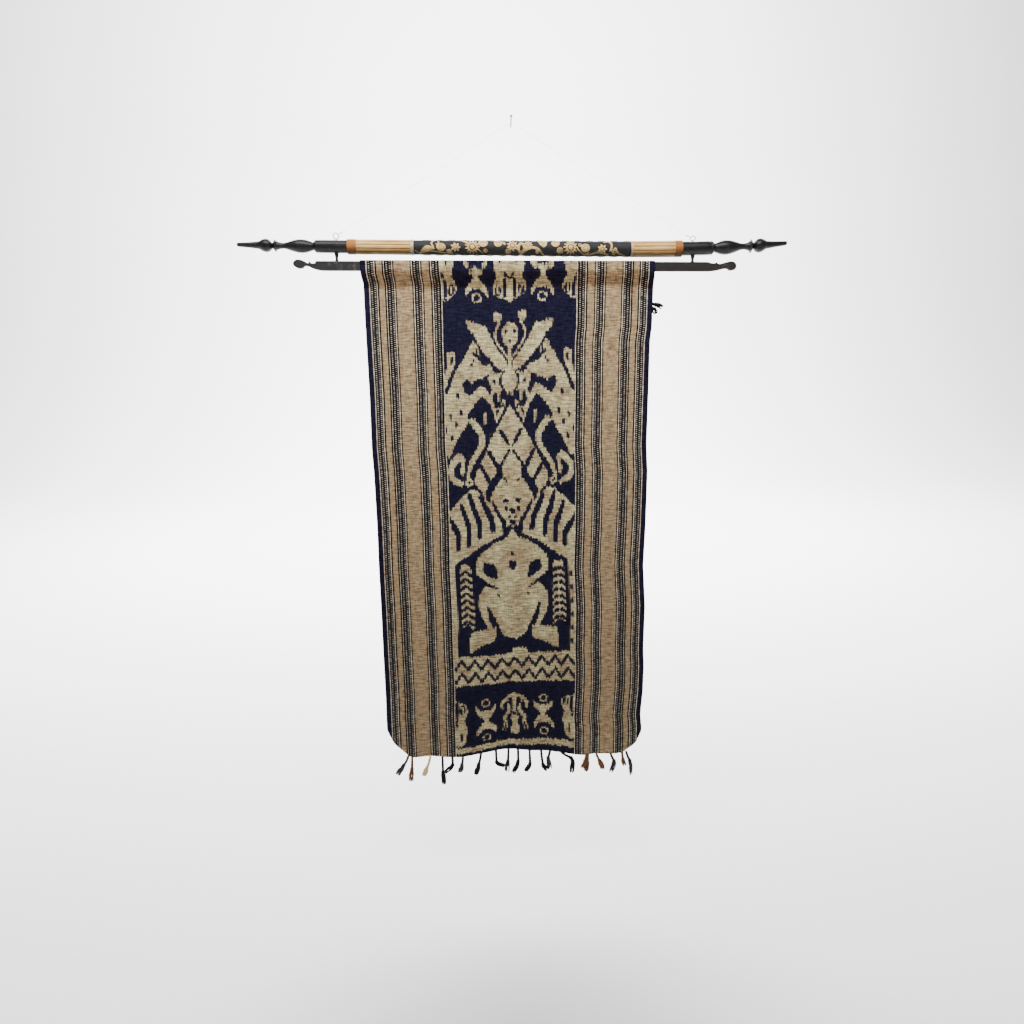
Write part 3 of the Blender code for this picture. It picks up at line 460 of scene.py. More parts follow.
def draw_standing_figure(view):
    """A standing figure under an open hood, from the top of the hood down."""
    view.line([(-2, 2), (9, 7), (22, 15), (32, 27), (30, 40)], [8, 9, 9, 7])
    view.line([(0, 3), (0, 54)], [10.5, 9.5])
    view.oval(17, 22, 3, 3.4)
    view.line([(15, 31), (13, 47), (19, 58), (26, 67), (22, 80)], [5, 9.5, 10, 11, 5])
    view.hole(0, 56, 9.5, 8.5)
    view.ring(0, 56, 9, 8, 3)
    view.patch([(-3, 64), (10, 66), (9, 76), (6, 86), (10, 94), (11, 111), (-3, 112)])
    view.line([(20, 81), (23, 101)], [4.5, 3])
    view.line([(28, 81), (31, 101)], [4.5, 3])


def draw_broad_figure(view):
    """The fuller standing figure of the upper row, with two ringed shoulders."""
    body = [(-4, 4), (9, 5), (22, 9), (33, 17), (37, 30), (33, 44), (28, 52), (30, 64)]
    body += [(34, 76), (31, 92), (27, 118), (-4, 118)]
    view.patch(body)
    view.hole(25, 25, 7.5, 11.5)
    view.line([(24, 19), (26, 33)], [4.5, 4])
    view.cut([(11, 12), (11, 30), (10, 48)], [7.5, 8, 6])
    view.hole(0, 59, 11, 9)
    view.oval(0, 59, 5.5, 4.5)
    view.cut([(18, 84), (19, 104)], [4, 5])


def draw_twin_crescents(view):
    """Two crescents joined at a narrow waist, with a thin ring above and one below."""
    view.patch([(25, 21), (24, 37), (16, 50), (6, 60), (-3, 64), (-3, 37), (8, 38), (16, 32)])
    view.patch([(-3, 62), (6, 66), (17, 75), (25, 86), (25, 102), (16, 93), (8, 87), (-3, 87)])
    view.line([(0, 54), (0, 74)], [11, 11])
    view.hole(0, 18, 14, 14)
    view.hole(0, 110, 14, 14)
    view.ring(0, 18, 11.2, 11.2, 4.2)
    view.ring(0, 111, 11.2, 11.2, 4.2)


def draw_borders(panel):
    """The two rows of figures; the upper row stands on its head."""
    draw_standing_figure(panel.about(0, 1291))
    draw_broad_figure(panel.about(153, 1292))
    draw_twin_crescents(panel.about(72, 1291))
    draw_broad_figure(panel.about(0, 358, -1))
    draw_broad_figure(panel.about(153, 358, -1))
    draw_twin_crescents(panel.about(72, 367, -1))


def draw_crown(panel):
    """A seed head on its stem between two budded stems and two broad leaves."""
    leaf = [(55, 407), (72, 404), (96, 394), (94, 412), (80, 428), (72, 447), (60, 464), (42, 484)]
    leaf += [(24, 503), (8, 503), (7, 488), (30, 456), (42, 434), (50, 418)]
    panel.patch(leaf)
    panel.cut([(46, 410), (40, 430), (28, 450), (14, 470), (4, 485)], [7, 8, 6])
    panel.cut([(24, 410), (25, 430), (18, 447), (8, 462), (3, 474)], [6, 6, 5])
    panel.line([(19, 388), (25, 403), (34, 424), (30, 442), (16, 464), (3, 482)], [4.5, 4.8, 4.5])
    panel.patch([(18, 383), (34, 377), (36, 395), (28, 400), (21, 398)])
    panel.patch([(-4, 402), (9, 405), (18, 418), (17, 440), (9, 453), (-4, 456)])
    panel.line([(0, 448), (0, 500)], [7, 9])
    for x, y in ((0, 441), (9.5, 422)):
        panel.hole(x, y, 3.4, 3.8)


def draw_knot(panel):
    """The knot below the crown, with its small fingers and rings."""
    panel.patch([(-4, 497), (8, 500), (22, 512), (38, 508), (48, 520), (44, 540), (30, 556), (-4, 560)])
    panel.cut([(11, 508), (20, 522), (19, 540), (12, 550)], [3, 6, 3])
    panel.cut([(25, 503), (30, 512)], [4, 4])
    panel.hole(34, 531, 3.5, 5)
    panel.clear([(8, 552), (20, 553), (20, 575), (9, 575)])
    panel.line([(25, 552), (25, 574)], [5, 5])
    panel.line([(35, 545), (43, 572), (36, 594), (30, 622)], [6, 9, 8, 3])
    panel.line([(14, 577), (20, 596), (30, 616)], [9, 10, 4])
    panel.hole(17, 586, 3.5, 5)
    panel.cut([(0, 556), (0, 568)], [5, 4])


def draw_animal(panel):
    """A spotted animal in each half, with bent legs, a marked lozenge and ringed hooves."""
    body = [(70, 456), (84, 440), (92, 456), (104, 476), (116, 496), (129, 522), (139, 548)]
    body += [(152, 572), (152, 700), (140, 698), (128, 674), (112, 655), (103, 630), (90, 616)]
    body += [(76, 640), (62, 662), (70, 690), (44, 660), (58, 600), (40, 600), (26, 592)]
    body += [(32, 562), (46, 540), (60, 520), (45, 513), (37, 500), (52, 489), (66, 478)]
    panel.patch(body)
    panel.cut([(53, 492), (64, 484), (75, 470), (72, 452)], [5, 8, 5, 2])
    panel.hole(80, 470, 3.5, 4.5)
    panel.cut([(80, 484), (88, 492)], [5, 4])
    panel.cut([(97, 533), (92, 549), (72, 534), (54, 533), (42, 552), (30, 584)], [19, 17, 15, 11])
    panel.clear([(62, 563), (98, 605), (80, 632), (56, 668), (42, 642), (34, 612), (41, 590)])
    panel.line([(57, 601), (56, 624)], [6.5, 6])
    flank = [(102, 631), (122, 662), (132, 690), (120, 720), (106, 735), (96, 706), (70, 667), (84, 650)]
    panel.clear(flank)
    panel.line([(86, 618), (66, 648), (68, 676), (92, 712), (101, 745)], [15, 14, 12, 9])
    panel.cut([(47, 655), (62, 684), (82, 714), (95, 740)], [7, 5, 5])
    panel.ring(98, 757, 9.5, 9.5, 5.8)
    for x, y in ((97, 546), (112, 598), (136, 605), (134, 655), (148, 640), (118, 560), (124, 626)):
        panel.hole(x, y, 3.6, 6.8)


def draw_edge_tails(panel):
    """The small tails that stand at the panel's edges beside the animals."""
    tip = [(124, 464), (141, 464), (142, 492), (148, 520), (153, 530), (153, 556), (144, 538), (134, 512)]
    panel.patch(tip + [(125, 496)])
    panel.cut([(130, 474), (131, 488)], [4, 5.5])
    gap = [(152, 700), (152, 775), (140, 775), (122, 772), (108, 755), (104, 700), (118, 684), (138, 700)]
    panel.clear(gap)
    tail = [(106, 700), (118, 690), (134, 700), (145, 716), (146, 742), (132, 762), (116, 768)]
    tail += [(110, 758), (122, 752), (110, 740), (108, 716)]
    panel.patch(tail)
    panel.cut([(117, 714), (126, 728), (124, 742), (112, 750)], [6, 15, 14, 9])


def draw_tree(panel):
    """The tall lozenge tree between the animals."""
    outline = [(-4, 592), (12, 606), (30, 634), (46, 662), (62, 696), (80, 730), (86, 752)]
    outline += [(80, 768), (68, 782), (62, 806), (50, 822), (40, 846), (-4, 870)]
    panel.patch(outline)
    panel.cut([(24, 640), (15, 656), (5, 674)], [7, 9, 5])
    panel.cut([(4, 686), (14, 702), (24, 716), (31, 730)], [5, 6, 10])
    panel.cut([(52, 687), (32, 724)], [8.5, 10.5])
    panel.cut([(71, 720), (49, 760)], [8.5, 10])
    gap = [(24, 722), (34, 735), (52, 760), (62, 782), (54, 806), (46, 784), (28, 754), (20, 744)]
    panel.clear(gap)
    panel.cut([(18, 750), (12, 757)], [4, 4])


def draw_seed_pod(panel):
    """The rounded pod below the tree, with its dark seeds."""
    for x, y, across, down in ((15, 803, 7.5, 5), (14, 822, 4.4, 6), (0, 827, 6.5, 7), (7, 842, 3.2, 3.6)):
        panel.hole(x, y, across, down)
    panel.hole(0, 854, 8, 6)
    panel.cut([(45, 806), (34, 830), (22, 852)], [6.5, 7.5, 6])


def draw_wings(panel):
    """Pleated wings: a pale field cut by long curved dark pleats."""
    wing = [(20, 868), (52, 820), (72, 786), (84, 774), (100, 776), (116, 792), (136, 812), (152, 836)]
    wing += [(152, 962), (136, 955), (96, 930), (58, 908), (16, 884)]
    panel.patch(wing)
    panel.cut([(44, 812), (30, 838), (20, 856), (17, 886)], [6, 10, 11])
    panel.cut([(74, 792), (60, 822), (50, 845), (46, 872)], [8, 14, 13, 12])
    panel.cut([(99, 786), (90, 822), (79, 852), (77, 888)], [9, 13, 12, 12])
    panel.cut([(120, 812), (110, 842), (103, 866), (103, 905)], [9, 13, 12, 11])
    panel.cut([(148, 842), (136, 866), (127, 884), (127, 915)], [8, 14, 12, 11])
    panel.clear([(-4, 862), (10, 862), (14, 872), (-4, 888)])
    panel.line([(0, 860), (0, 884)], [4, 6])


def draw_great_figure(panel):
    """The large squatting figure with hands at its waist."""
    ground = [(-4, 878), (14, 884), (62, 914), (104, 940), (132, 956), (136, 972), (150, 1190), (-4, 1190)]
    panel.clear(ground)
    panel.cut([(4, 878), (60, 910), (134, 962)], [6, 13, 16])
    torso = [(-4, 878), (14, 892), (42, 903), (70, 926), (85, 944), (87, 974), (66, 996), (42, 1011)]
    torso += [(36, 1014), (48, 1009), (60, 1004), (70, 1012), (84, 1034), (85, 1058), (78, 1084)]
    torso += [(64, 1110), (50, 1112), (58, 1086), (64, 1062), (52, 1088), (36, 1112), (28, 1131), (-4, 1135)]
    panel.patch(torso)
    panel.clear([(42, 957), (67, 950), (69, 976), (37, 992), (38, 976)])
    panel.cut([(92, 984), (64, 1001), (38, 1016)], [14, 9, 2])
    panel.cut([(63, 1058), (53, 1092), (44, 1118)], [4, 14, 19])
    panel.patch([(44, 1113), (56, 1116), (104, 1122), (107, 1174), (82, 1160), (46, 1144)])
    panel.line([(61, 1104), (55, 1120)], [12, 12])
    panel.hole(1, 930, 3.6, 4.5)
    panel.hole(3, 958, 6, 11)
    panel.hole(36, 1032, 2.6, 3.2)


def draw_fern(panel):
    """An upright fern of paired leaflets beside the great figure."""
    panel.patch([(98, 965), (111, 953), (124, 965), (127, 1108), (111, 1098), (95, 1112)])
    fern = panel.about(111, 962)
    for k in range(8):
        top = 14 + 17.5 * k
        fern.cut([(3.5, top - 5), (9, top + 1), (15.5, top + 6)], [7, 7, 5.5])
    panel.cut([(131, 968), (131, 1182)], [5, 5])
    panel.patch([(135, 950), (152, 950), (152, 1200), (136, 1190)], True, False)


def draw_zigzag_band(panel):
    """A pale band crossed by two dark zigzag lines."""
    panel.patch([(-4, 1184), (152, 1184), (152, 1260), (-4, 1260)], True, False)
    for low, high in ((1219, 1195), (1252, 1228)):
        points = []
        for k in range(6):
            points += [(32.5 * k - 16, low), (32.5 * k, high)]
        for a, b in zip(points, points[1:]):
            panel.cut([a, b], [6.6, 6.6])


PANEL_PARTS = (draw_crown, draw_tree, draw_seed_pod, draw_animal, draw_knot, draw_edge_tails)
PANEL_PARTS += (draw_wings, draw_great_figure, draw_fern, draw_zigzag_band, draw_borders)


def panel_drawing(across, down):
    """The whole centre panel at the given places, with the slight drift of hand-tied yarn."""
    drift_across = 1.3 * wave_noise(across / 55, down / 40, 3)
    below, sag = np.array(LEFT_SAG, float).T
    drift_down = 1.4 * wave_noise(across / 30, down / 60, 4)
    drift_down += np.interp(down, below, sag) * np.tanh(across / 70)
    panel = Drawing(np.abs(across + drift_across), down + drift_down)
    for draw_part in PANEL_PARTS:
        draw_part(panel)
    panel.patch([(-4, 1421), (152, 1421), (152, 1436), (-4, 1436)], True, False)
    tail = Drawing(across, down, panel.edge)
    tail.patch([(-4, 1190), (-2, 1168), (10, 1166), (30, 1168), (32, 1190)])
    for k in range(6):
        tail.cut([(141, 975 + 34 * k), (142, 984 + 34 * k)], [5, 6])
    return panel.edge


# Cloth


def drape_profile():
    """The cloth's path over the bar from back hem to front hem as lengths, y and z."""
    top_z = BAR_Z + BAR_HEIGHT / 2 + CLOTH_OVER_BAR + CLOTH_THICK / 2
    turn_z = top_z - CLOTH_TURN_HEIGHT
    path = [(HANGER_Y + CLOTH_REACH, BACK_HEM_Z)]
    for i in range(25):
        angle = math.pi * i / 24
        side = math.copysign(abs(math.cos(angle)) ** CLOTH_TURN_POWER, math.cos(angle))
        rise = CLOTH_TURN_HEIGHT * max(0.0, math.sin(angle)) ** CLOTH_TURN_POWER
        path.append((HANGER_Y + CLOTH_REACH * side, turn_z + rise))
    front_y = HANGER_Y - CLOTH_REACH
    for i in range(1, 13):
        share = i / 12
        y = front_y + (CLOTH_HANG_Y - front_y) * float(smoothstep(share))
        path.append((y, TUCK_TOP_Z + (TUCK_FOOT_Z - TUCK_TOP_Z) * share))
    path.append((CLOTH_HANG_Y, FRONT_HEM_Z))
    y, z = np.array(path).T
    lengths = np.concatenate([[0.0], np.cumsum(np.hypot(np.diff(y), np.diff(z)))])
    return lengths, y, z


def hem_drop(x):
    across, below = np.array(FRONT_HEM, float).T
    return -np.interp(x / MM, across, below) * MM


def forward_at(x, z):
    """How far the hanging cloth stands forward at a place: folds, creases and a slight ripple."""
    forward = np.zeros(x.shape)
    for middle, half, top, foot, depth in FOLDS:
        across = np.exp(-(((x - middle * MM) / (half * MM)) ** 2))
        ease = 0.14 * (foot - top) * MM + 0.03
        shown = smoothstep((-z - top * MM) / ease) * smoothstep((foot * MM + z) / ease)
        forward += depth * MM * across * shown
    for x0, z0, x1, z1, half, depth in CREASES:
        run = math.hypot(x1 - x0, z1 - z0)
        along = ((x / MM - x0) * (x1 - x0) + (-z / MM - z0) * (z1 - z0)) / run
        aside = ((x / MM - x0) * (z1 - z0) - (-z / MM - z0) * (x1 - x0)) / run
        fade = smoothstep((along + 12) / 24) * smoothstep((run + 12 - along) / 24)
        forward += depth * MM * fade * np.exp(-((aside / half) ** 2))
    ripple = smoothstep((-z - 0.34) / 0.12)
    forward += 0.0007 * ripple * wave_noise(x / 0.045, z / 0.11, 7)
    return forward


def curled(points):
    """Rolls the two lower corners back behind the cloth."""
    edge_below, *edge_sides = np.array(CLOTH_EDGES, float).T
    for side, below, hem_mm in CORNERS:
        edge_x = np.interp(below, edge_below, edge_sides[0 if side < 0 else 1])
        start = np.array([edge_x * MM, -below * MM])
        end = np.array([hem_mm * MM, float(hem_drop(np.array(hem_mm * MM)))])
        along = (end - start) / np.linalg.norm(end - start)
        outward = np.array([-along[1], along[0]])
        if outward[0] * side < 0:
            outward = -outward
        start = start - outward * CURL_RADIUS
        past = (points[:, 0] - start[0]) * outward[0] + (points[:, 2] - start[1]) * outward[1]
        chosen = (past > 0) & (np.abs(points[:, 0] - edge_x * MM) < 0.075) & (points[:, 2] < start[1] + 0.03)
        half_turn = math.pi * CURL_RADIUS
        turn = np.minimum(past, half_turn) / CURL_RADIUS
        shift = CURL_RADIUS * np.sin(turn) - np.maximum(0.0, past - half_turn) - past
        points[chosen, 0] += (outward[0] * shift)[chosen]
        points[chosen, 2] += (outward[1] * shift)[chosen]
        points[chosen, 1] += (CURL_RADIUS * (1.0 - np.cos(turn)))[chosen]
    return points


def cloth_columns():
    """Where the warp divides the cloth, in millimetres from its middle."""
    side = [PANEL_HALF + STRIPE_UNIT * place for group in STRIPE_COLUMNS for place in group]
    middle = np.linspace(-PANEL_HALF, PANEL_HALF, PANEL_COLUMNS + 1)
    return np.array([-place for place in reversed(side)] + list(middle) + side)


def cloth_rows(lengths):
    """Where the weft divides the cloth, as lengths from the back hem."""
    back = np.linspace(0.0, lengths[1], 17)
    turn = lengths[2:38]
    count = int(round((lengths[-1] - lengths[-2]) / (HANG_ROW * MM)))
    hang = np.linspace(lengths[-2], lengths[-1], count + 1)
    return np.concatenate([back, turn[:-1], hang])


def make_cloth(material):
    lengths, path_y, path_z = drape_profile()
    columns = cloth_columns()
    rows = cloth_rows(lengths)
    nothing_selected()
    bpy.ops.mesh.primitive_grid_add(x_subdivisions=len(columns) - 1, y_subdivisions=len(rows) - 1, size=2)
    cloth = bpy.context.object
    flat = points_of(cloth.data)
    column = np.rint((flat[:, 0] + 1) / 2 * (len(columns) - 1)).astype(int)
    row = np.rint((flat[:, 1] + 1) / 2 * (len(rows) - 1)).astype(int)
    across = columns[column]
    length = rows[row]
    z = np.interp(length, lengths, path_z)
    y = np.interp(length, lengths, path_y)
    below, left, right = np.array(CLOTH_EDGES, float).T
    left_x = np.interp(-z / MM, below, left) * MM
    right_x = np.interp(-z / MM, below, right) * MM
    share = across / (2 * columns[-1]) + 0.5
    x = left_x + (right_x - left_x) * share
    ease = smoothstep((FRONT_HEM_Z + HEM_EASE_LENGTH - z) / HEM_EASE_LENGTH)
    front = length > lengths[14]
    ease = np.where(front, ease, 0.0)
    z = z + drop_at(x) * (1.0 - ease) + (hem_drop(x) - FRONT_HEM_Z) * ease
    forward = forward_at(x, z)
    y = y - np.where(length > lengths[-14], forward, 0.0)
    set_points(cloth.data, curled(np.stack([x, y, z], 1)))
    down = -FRONT_HEM_Z / MM - (lengths[-1] - length) / MM
    middles = (columns[1:] + columns[:-1]) / 2
    down_rows = -FRONT_HEM_Z / MM - (lengths[-1] - rows) / MM
    slips = np.random.default_rng(23).uniform(-BUNDLE_SLIP, BUNDLE_SLIP, len(middles))
    wide, deep = np.meshgrid(middles, down_rows)
    table = panel_drawing(wide, deep + slips)
    steps_down = np.gradient(table, rows / MM, axis=0)
    steps_across = np.gradient(table, middles, axis=1)
    lean = np.abs(steps_down) / (np.hypot(steps_down, steps_across) + 0.05)
    corners = np.empty(len(cloth.data.loops), np.int32)
    cloth.data.loops.foreach_get("vertex_index", corners)
    corners = corners.reshape(-1, 4)
    bundle = column[corners].min(axis=1)[:, None]
    carry(cloth.data, "edge_mm", table[row[corners], bundle], "CORNER")
    carry(cloth.data, "feather", lean[row[corners], bundle], "CORNER")
    carry(cloth.data, "across_mm", across)
    carry(cloth.data, "down_mm", down)
    solidify = cloth.modifiers.new("Thickness", "SOLIDIFY")
    solidify.thickness = CLOTH_THICK
    solidify.offset = 0.0
    bpy.ops.object.modifier_apply(modifier="Thickness")
    face_outward()
    bpy.ops.object.shade_smooth()
    return dress(cloth, "ikat_cloth", material, "ikat_cotton", "cloth")


# Fringe


def tube(path, radii, sides):
    """Points and faces of a closed tube along the path."""
    path = np.asarray(path, float)
    ahead = np.gradient(path, axis=0)
    ahead /= np.linalg.norm(ahead, axis=1)[:, None] + 1e-12
    aside = np.cross(ahead, np.array([0.13, 1.0, 0.07]))
    aside /= np.linalg.norm(aside, axis=1)[:, None] + 1e-12
    third = np.cross(ahead, aside)
    angles = np.arange(sides) * 2 * math.pi / sides
    ring = np.cos(angles)[None, :, None] * aside[:, None] + np.sin(angles)[None, :, None] * third[:, None]
    points = (path[:, None] + ring * np.asarray(radii)[:, None, None]).reshape(-1, 3)
    faces = []
    for i in range(len(path) - 1):
        for k in range(sides):
            a = i * sides + k
            b = i * sides + (k + 1) % sides
            faces.append((a, b, b + sides, a + sides))
    faces.append(tuple(range(sides - 1, -1, -1)))
    last = (len(path) - 1) * sides
    faces.append(tuple(range(last, last + sides)))
    return points, faces


def tassel_line(row, root, steps):
    """Points from root to end, through the bend, as a soft curve."""
    bend_x, bend_drop, end_x, end_drop, forward = row[1:6]
    bend = np.array([bend_x * MM, root[1] - forward / 3 * MM, root[2] - bend_drop * MM])
    end = np.array([end_x * MM, root[1] - forward * MM, root[2] - end_drop * MM])
    pull = (root + bend) / 2
    pull[0] = (root[0] + pull[0]) / 2
    onward = bend + (bend - pull) * 0.5
    points = []
    for i in range(steps + 1):
        t = i / steps
        if t < 0.5:
            s = t * 2
            points.append(root * (1 - s) ** 2 + pull * 2 * s * (1 - s) + bend * s * s)
        else:
            s = t * 2 - 1
            points.append(bend * (1 - s) ** 2 + onward * 2 * s * (1 - s) + end * s * s)
    return np.array(points)


def spin_tassel(path, draw, loose_ends):
    """A two-ply cord that ends in a bound lock of loose yarn ends: a list of paths and radii."""
    count = len(path)
    share = np.linspace(0, 1, count)
    ahead = np.gradient(path, axis=0)
    ahead /= np.linalg.norm(ahead, axis=1)[:, None]
    aside = np.cross(ahead, np.array([0.0, 1.0, 0.0]))
    aside /= np.linalg.norm(aside, axis=1)[:, None] + 1e-9
    forth = np.cross(ahead, aside)
    length = np.linalg.norm(np.diff(path, axis=0), axis=1).sum()

    def around(turn, reach, squash=1.0):
        beside = (np.cos(turn) * reach)[:, None] * aside
        return path + beside + (np.sin(turn) * reach * squash)[:, None] * forth

    made = []
    used = share <= TASSEL_BOUND + 0.05
    twist = share * length / PLY_PITCH * 2 * math.pi + draw.uniform(0, 6)
    for ply in (0.0, math.pi):
        centre = around(twist + ply, PLY_OFFSET + 0.0004 * share)
        made.append((centre[used], (PLY_RADIUS + 0.0005 * share)[used]))
    in_lock = share >= TASSEL_BOUND - 0.06
    lock_start = share[in_lock][0]
    part = (share - lock_start) / (1 - lock_start)
    for _ in range(loose_ends):
        angle = draw.uniform(0, 2 * math.pi)
        spread = draw.uniform(0.25, 1.0)
        reach = draw.uniform(0.9, 1.0)
        out = 0.0016 + 0.0042 * spread * np.sin(np.clip(part * 1.25, 0, 1) * math.pi * 0.60)
        centre = around(angle + 1.4 * part + 0.3 * np.sin(part * 9 + angle), out, 0.75)
        kept = in_lock & (part <= reach)
        made.append((centre[kept], (YARN_RADIUS * (1.0 - 0.5 * part**3))[kept]))
    knot = int(count * (TASSEL_BOUND - 0.05))
    share = np.linspace(0, 1, 25)[:, None]
    turn = share * 4 * math.pi
    loops = path[knot] + (aside[knot] * np.cos(turn) + forth[knot] * np.sin(turn)) * KNOT_REACH
    made.append((loops + ahead[knot] * (share - 0.5) * 0.0024, np.full(25, KNOT_RADIUS)))
    return made


def piece_of(name, points, faces, smooth_angle):
    """A piece made of closed tubes, with its faces turned outward."""
    mesh = bpy.data.meshes.new(name)
    mesh.from_pydata(points.tolist(), [], faces)
    piece = bpy.data.objects.new(name, mesh)
    bpy.context.scene.collection.objects.link(piece)
    nothing_selected()
    piece.select_set(True)
    bpy.context.view_layer.objects.active = piece
    face_outward()
    bpy.ops.object.shade_smooth_by_angle(angle=math.radians(smooth_angle))
    return piece


def make_fringe(name, rows, root_place, seed, loose_ends, material, node):
    draw = random.Random(seed)
    points = []
    faces = []
    colours = []
    for row in rows:
        path = tassel_line(row, root_place(row[0] * MM), TASSEL_STEPS)
        shade = np.array(linear(*YARN_COLOURS[row[6]])) * draw.uniform(0.8, 1.25)
        for centre, radii in spin_tassel(path, draw, loose_ends):
            made, tube_faces = tube(centre, radii, YARN_SIDES)
            start = sum(len(group) for group in points)
            points.append(made)
            faces += [tuple(start + i for i in face) for face in tube_faces]
            tint = shade * draw.uniform(0.75, 1.3)
            colours += [(*tint[:3], 1.0)] * len(made)
    piece = piece_of(name, np.concatenate(points), faces, 60)
    layer = piece.data.attributes.new("yarn_colour", "FLOAT_COLOR", "POINT")
    layer.data.foreach_set("color", np.asarray(colours, np.float32).ravel())
    return dress(piece, name, material, "fringe_yarn", node)


def front_root(x):
    place = np.array(x)
    z = float(hem_drop(place))
    forward = float(forward_at(np.array([x]), np.array([z]))[0])
    return np.array([x, CLOTH_HANG_Y - forward, z + ROOT_TUCK])


def back_root(x):
    return np.array([x, HANGER_Y + CLOTH_REACH, BACK_HEM_Z + drop_at(x) + ROOT_TUCK])


def back_rows():
    draw = random.Random(11)
    first, last = BACK_TASSEL_ENDS
    rows = []
    x = first + 0.006
    while x < last - 0.024:
        drop = draw.uniform(0.044, 0.060)
        swing = draw.uniform(-0.012, 0.012)
        bend = x + swing * draw.uniform(0.1, 0.6)
        tone = draw.choice(("black", "grey", "brown", "black"))
        rows.append((x / MM, bend / MM, drop / MM * 0.5, (x + swing) / MM, drop / MM, 0, tone))
        x += BACK_TASSEL_PITCH
    return rows + list(BACK_SIDE_TASSELS)


# Pole


def make_turned_end(name, tip, inward, material):
    rows = [(along * MM, radius * MM, sharp) for along, radius, sharp in TURNED_PROFILE]
    piece = turn_on_lathe(smooth_rows(rows, 4), 64, 38)
    points = points_of(piece.data)
    along = points[:, 0]
    radius = np.hypot(points[:, 1], points[:, 2])
    angle = np.arctan2(points[:, 2], points[:, 1])
    on_shaft = smoothstep((along - 0.177) / 0.003) * smoothstep((0.2325 - along) / 0.002)
    flute = 1.0 - on_shaft * 0.022 * (1.0 - np.abs(np.cos(angle * 8)))
    points[:, 1:] *= np.where(radius > 1e-6, flute, 1.0)[:, None]
    points[:, 0] = tip + inward * along
    if inward < 0:
        points[:, 1] *= -1
    set_points(piece.data, points)
    carry(piece.data, "radius_mm", radius / MM)
    lay_on_pole(piece)
    return dress(piece, name + "_turned", material, "black_wood", name)


def section_rows(start, length, radius, step):
    edge = 0.0006
    run = length - 0.0003
    count = max(1, int(round((run - 2 * edge) / step)))
    rows = [(start, 0.0), (start, radius - edge), (start + edge * 0.3, radius - edge * 0.3)]
    rows += [(start + edge + (run - 2 * edge) * i / count, radius) for i in range(count + 1)]
    rows += [(start + run - edge * 0.3, radius - edge * 0.3)]
    rows += [(start + run, radius - edge), (start + run, 0.0)]
    return rows


def make_ring(name, start, length, radius, slot, material):
    piece = turn_on_lathe(section_rows(start, length, radius, 0.002), 64, 40)
    lay_on_pole(piece)
    return dress(piece, name + "_turned", material, slot, name)


def make_reeded(name, start, length, radius, material):
    """A reeded length: a turned cylinder whose surface is drawn in to leave rounded reeds."""
    piece = turn_on_lathe(section_rows(start, length, radius, 0.006), REEDS * 12, 60)
    points = points_of(piece.data)
    angle = np.arctan2(points[:, 2], points[:, 1])
    lobe = 1.0 - np.abs(np.cos(angle * REEDS / 2)) ** 0.6
    ripple = 0.06 * wave_noise(points[:, 0] / 0.02, angle * 2, 5)
    points[:, 1:] *= (1.0 - REED_DEPTH / radius * np.clip(lobe + ripple * lobe, 0, 1))[:, None]
    set_points(piece.data, points)
    carry(piece.data, "groove", lobe)
    lay_on_pole(piece)
    return dress(piece, name + "_carved", material, "natural_wood", name)


def draw_daisy(view, x, y, size, petals):
    across = view.across - x
    down = view.down - y
    far = np.hypot(across, down)
    turn = np.arctan2(down, across)
    rim = size * (0.80 + 0.20 * np.cos(turn * petals))
    near = far < size * 1.6
    view.lay(near, (far - rim)[near], True)
    split = np.abs(np.sin((turn + math.pi / petals) * petals / 2)) * far * 2 / petals * 1.6
    gap = np.maximum(split - 0.45, size * 0.42 - far)
    view.lay(near, gap[near], False)
    view.hole(x, y, size * 0.42, size * 0.42)
    view.oval(x, y, size * 0.30, size * 0.30)


def draw_rose(view, x, y, size):
    view.oval(x, y, size, size * 0.92)
    for share in (0.72, 0.42):
        points = []
        for k in range(8):
            turn = k / 7 * 1.55 * math.pi + share * 5
            points.append((x + math.cos(turn) * size * share, y + math.sin(turn) * size * share * 0.9))
        view.cut(points, [0.7, 1.1, 0.5])


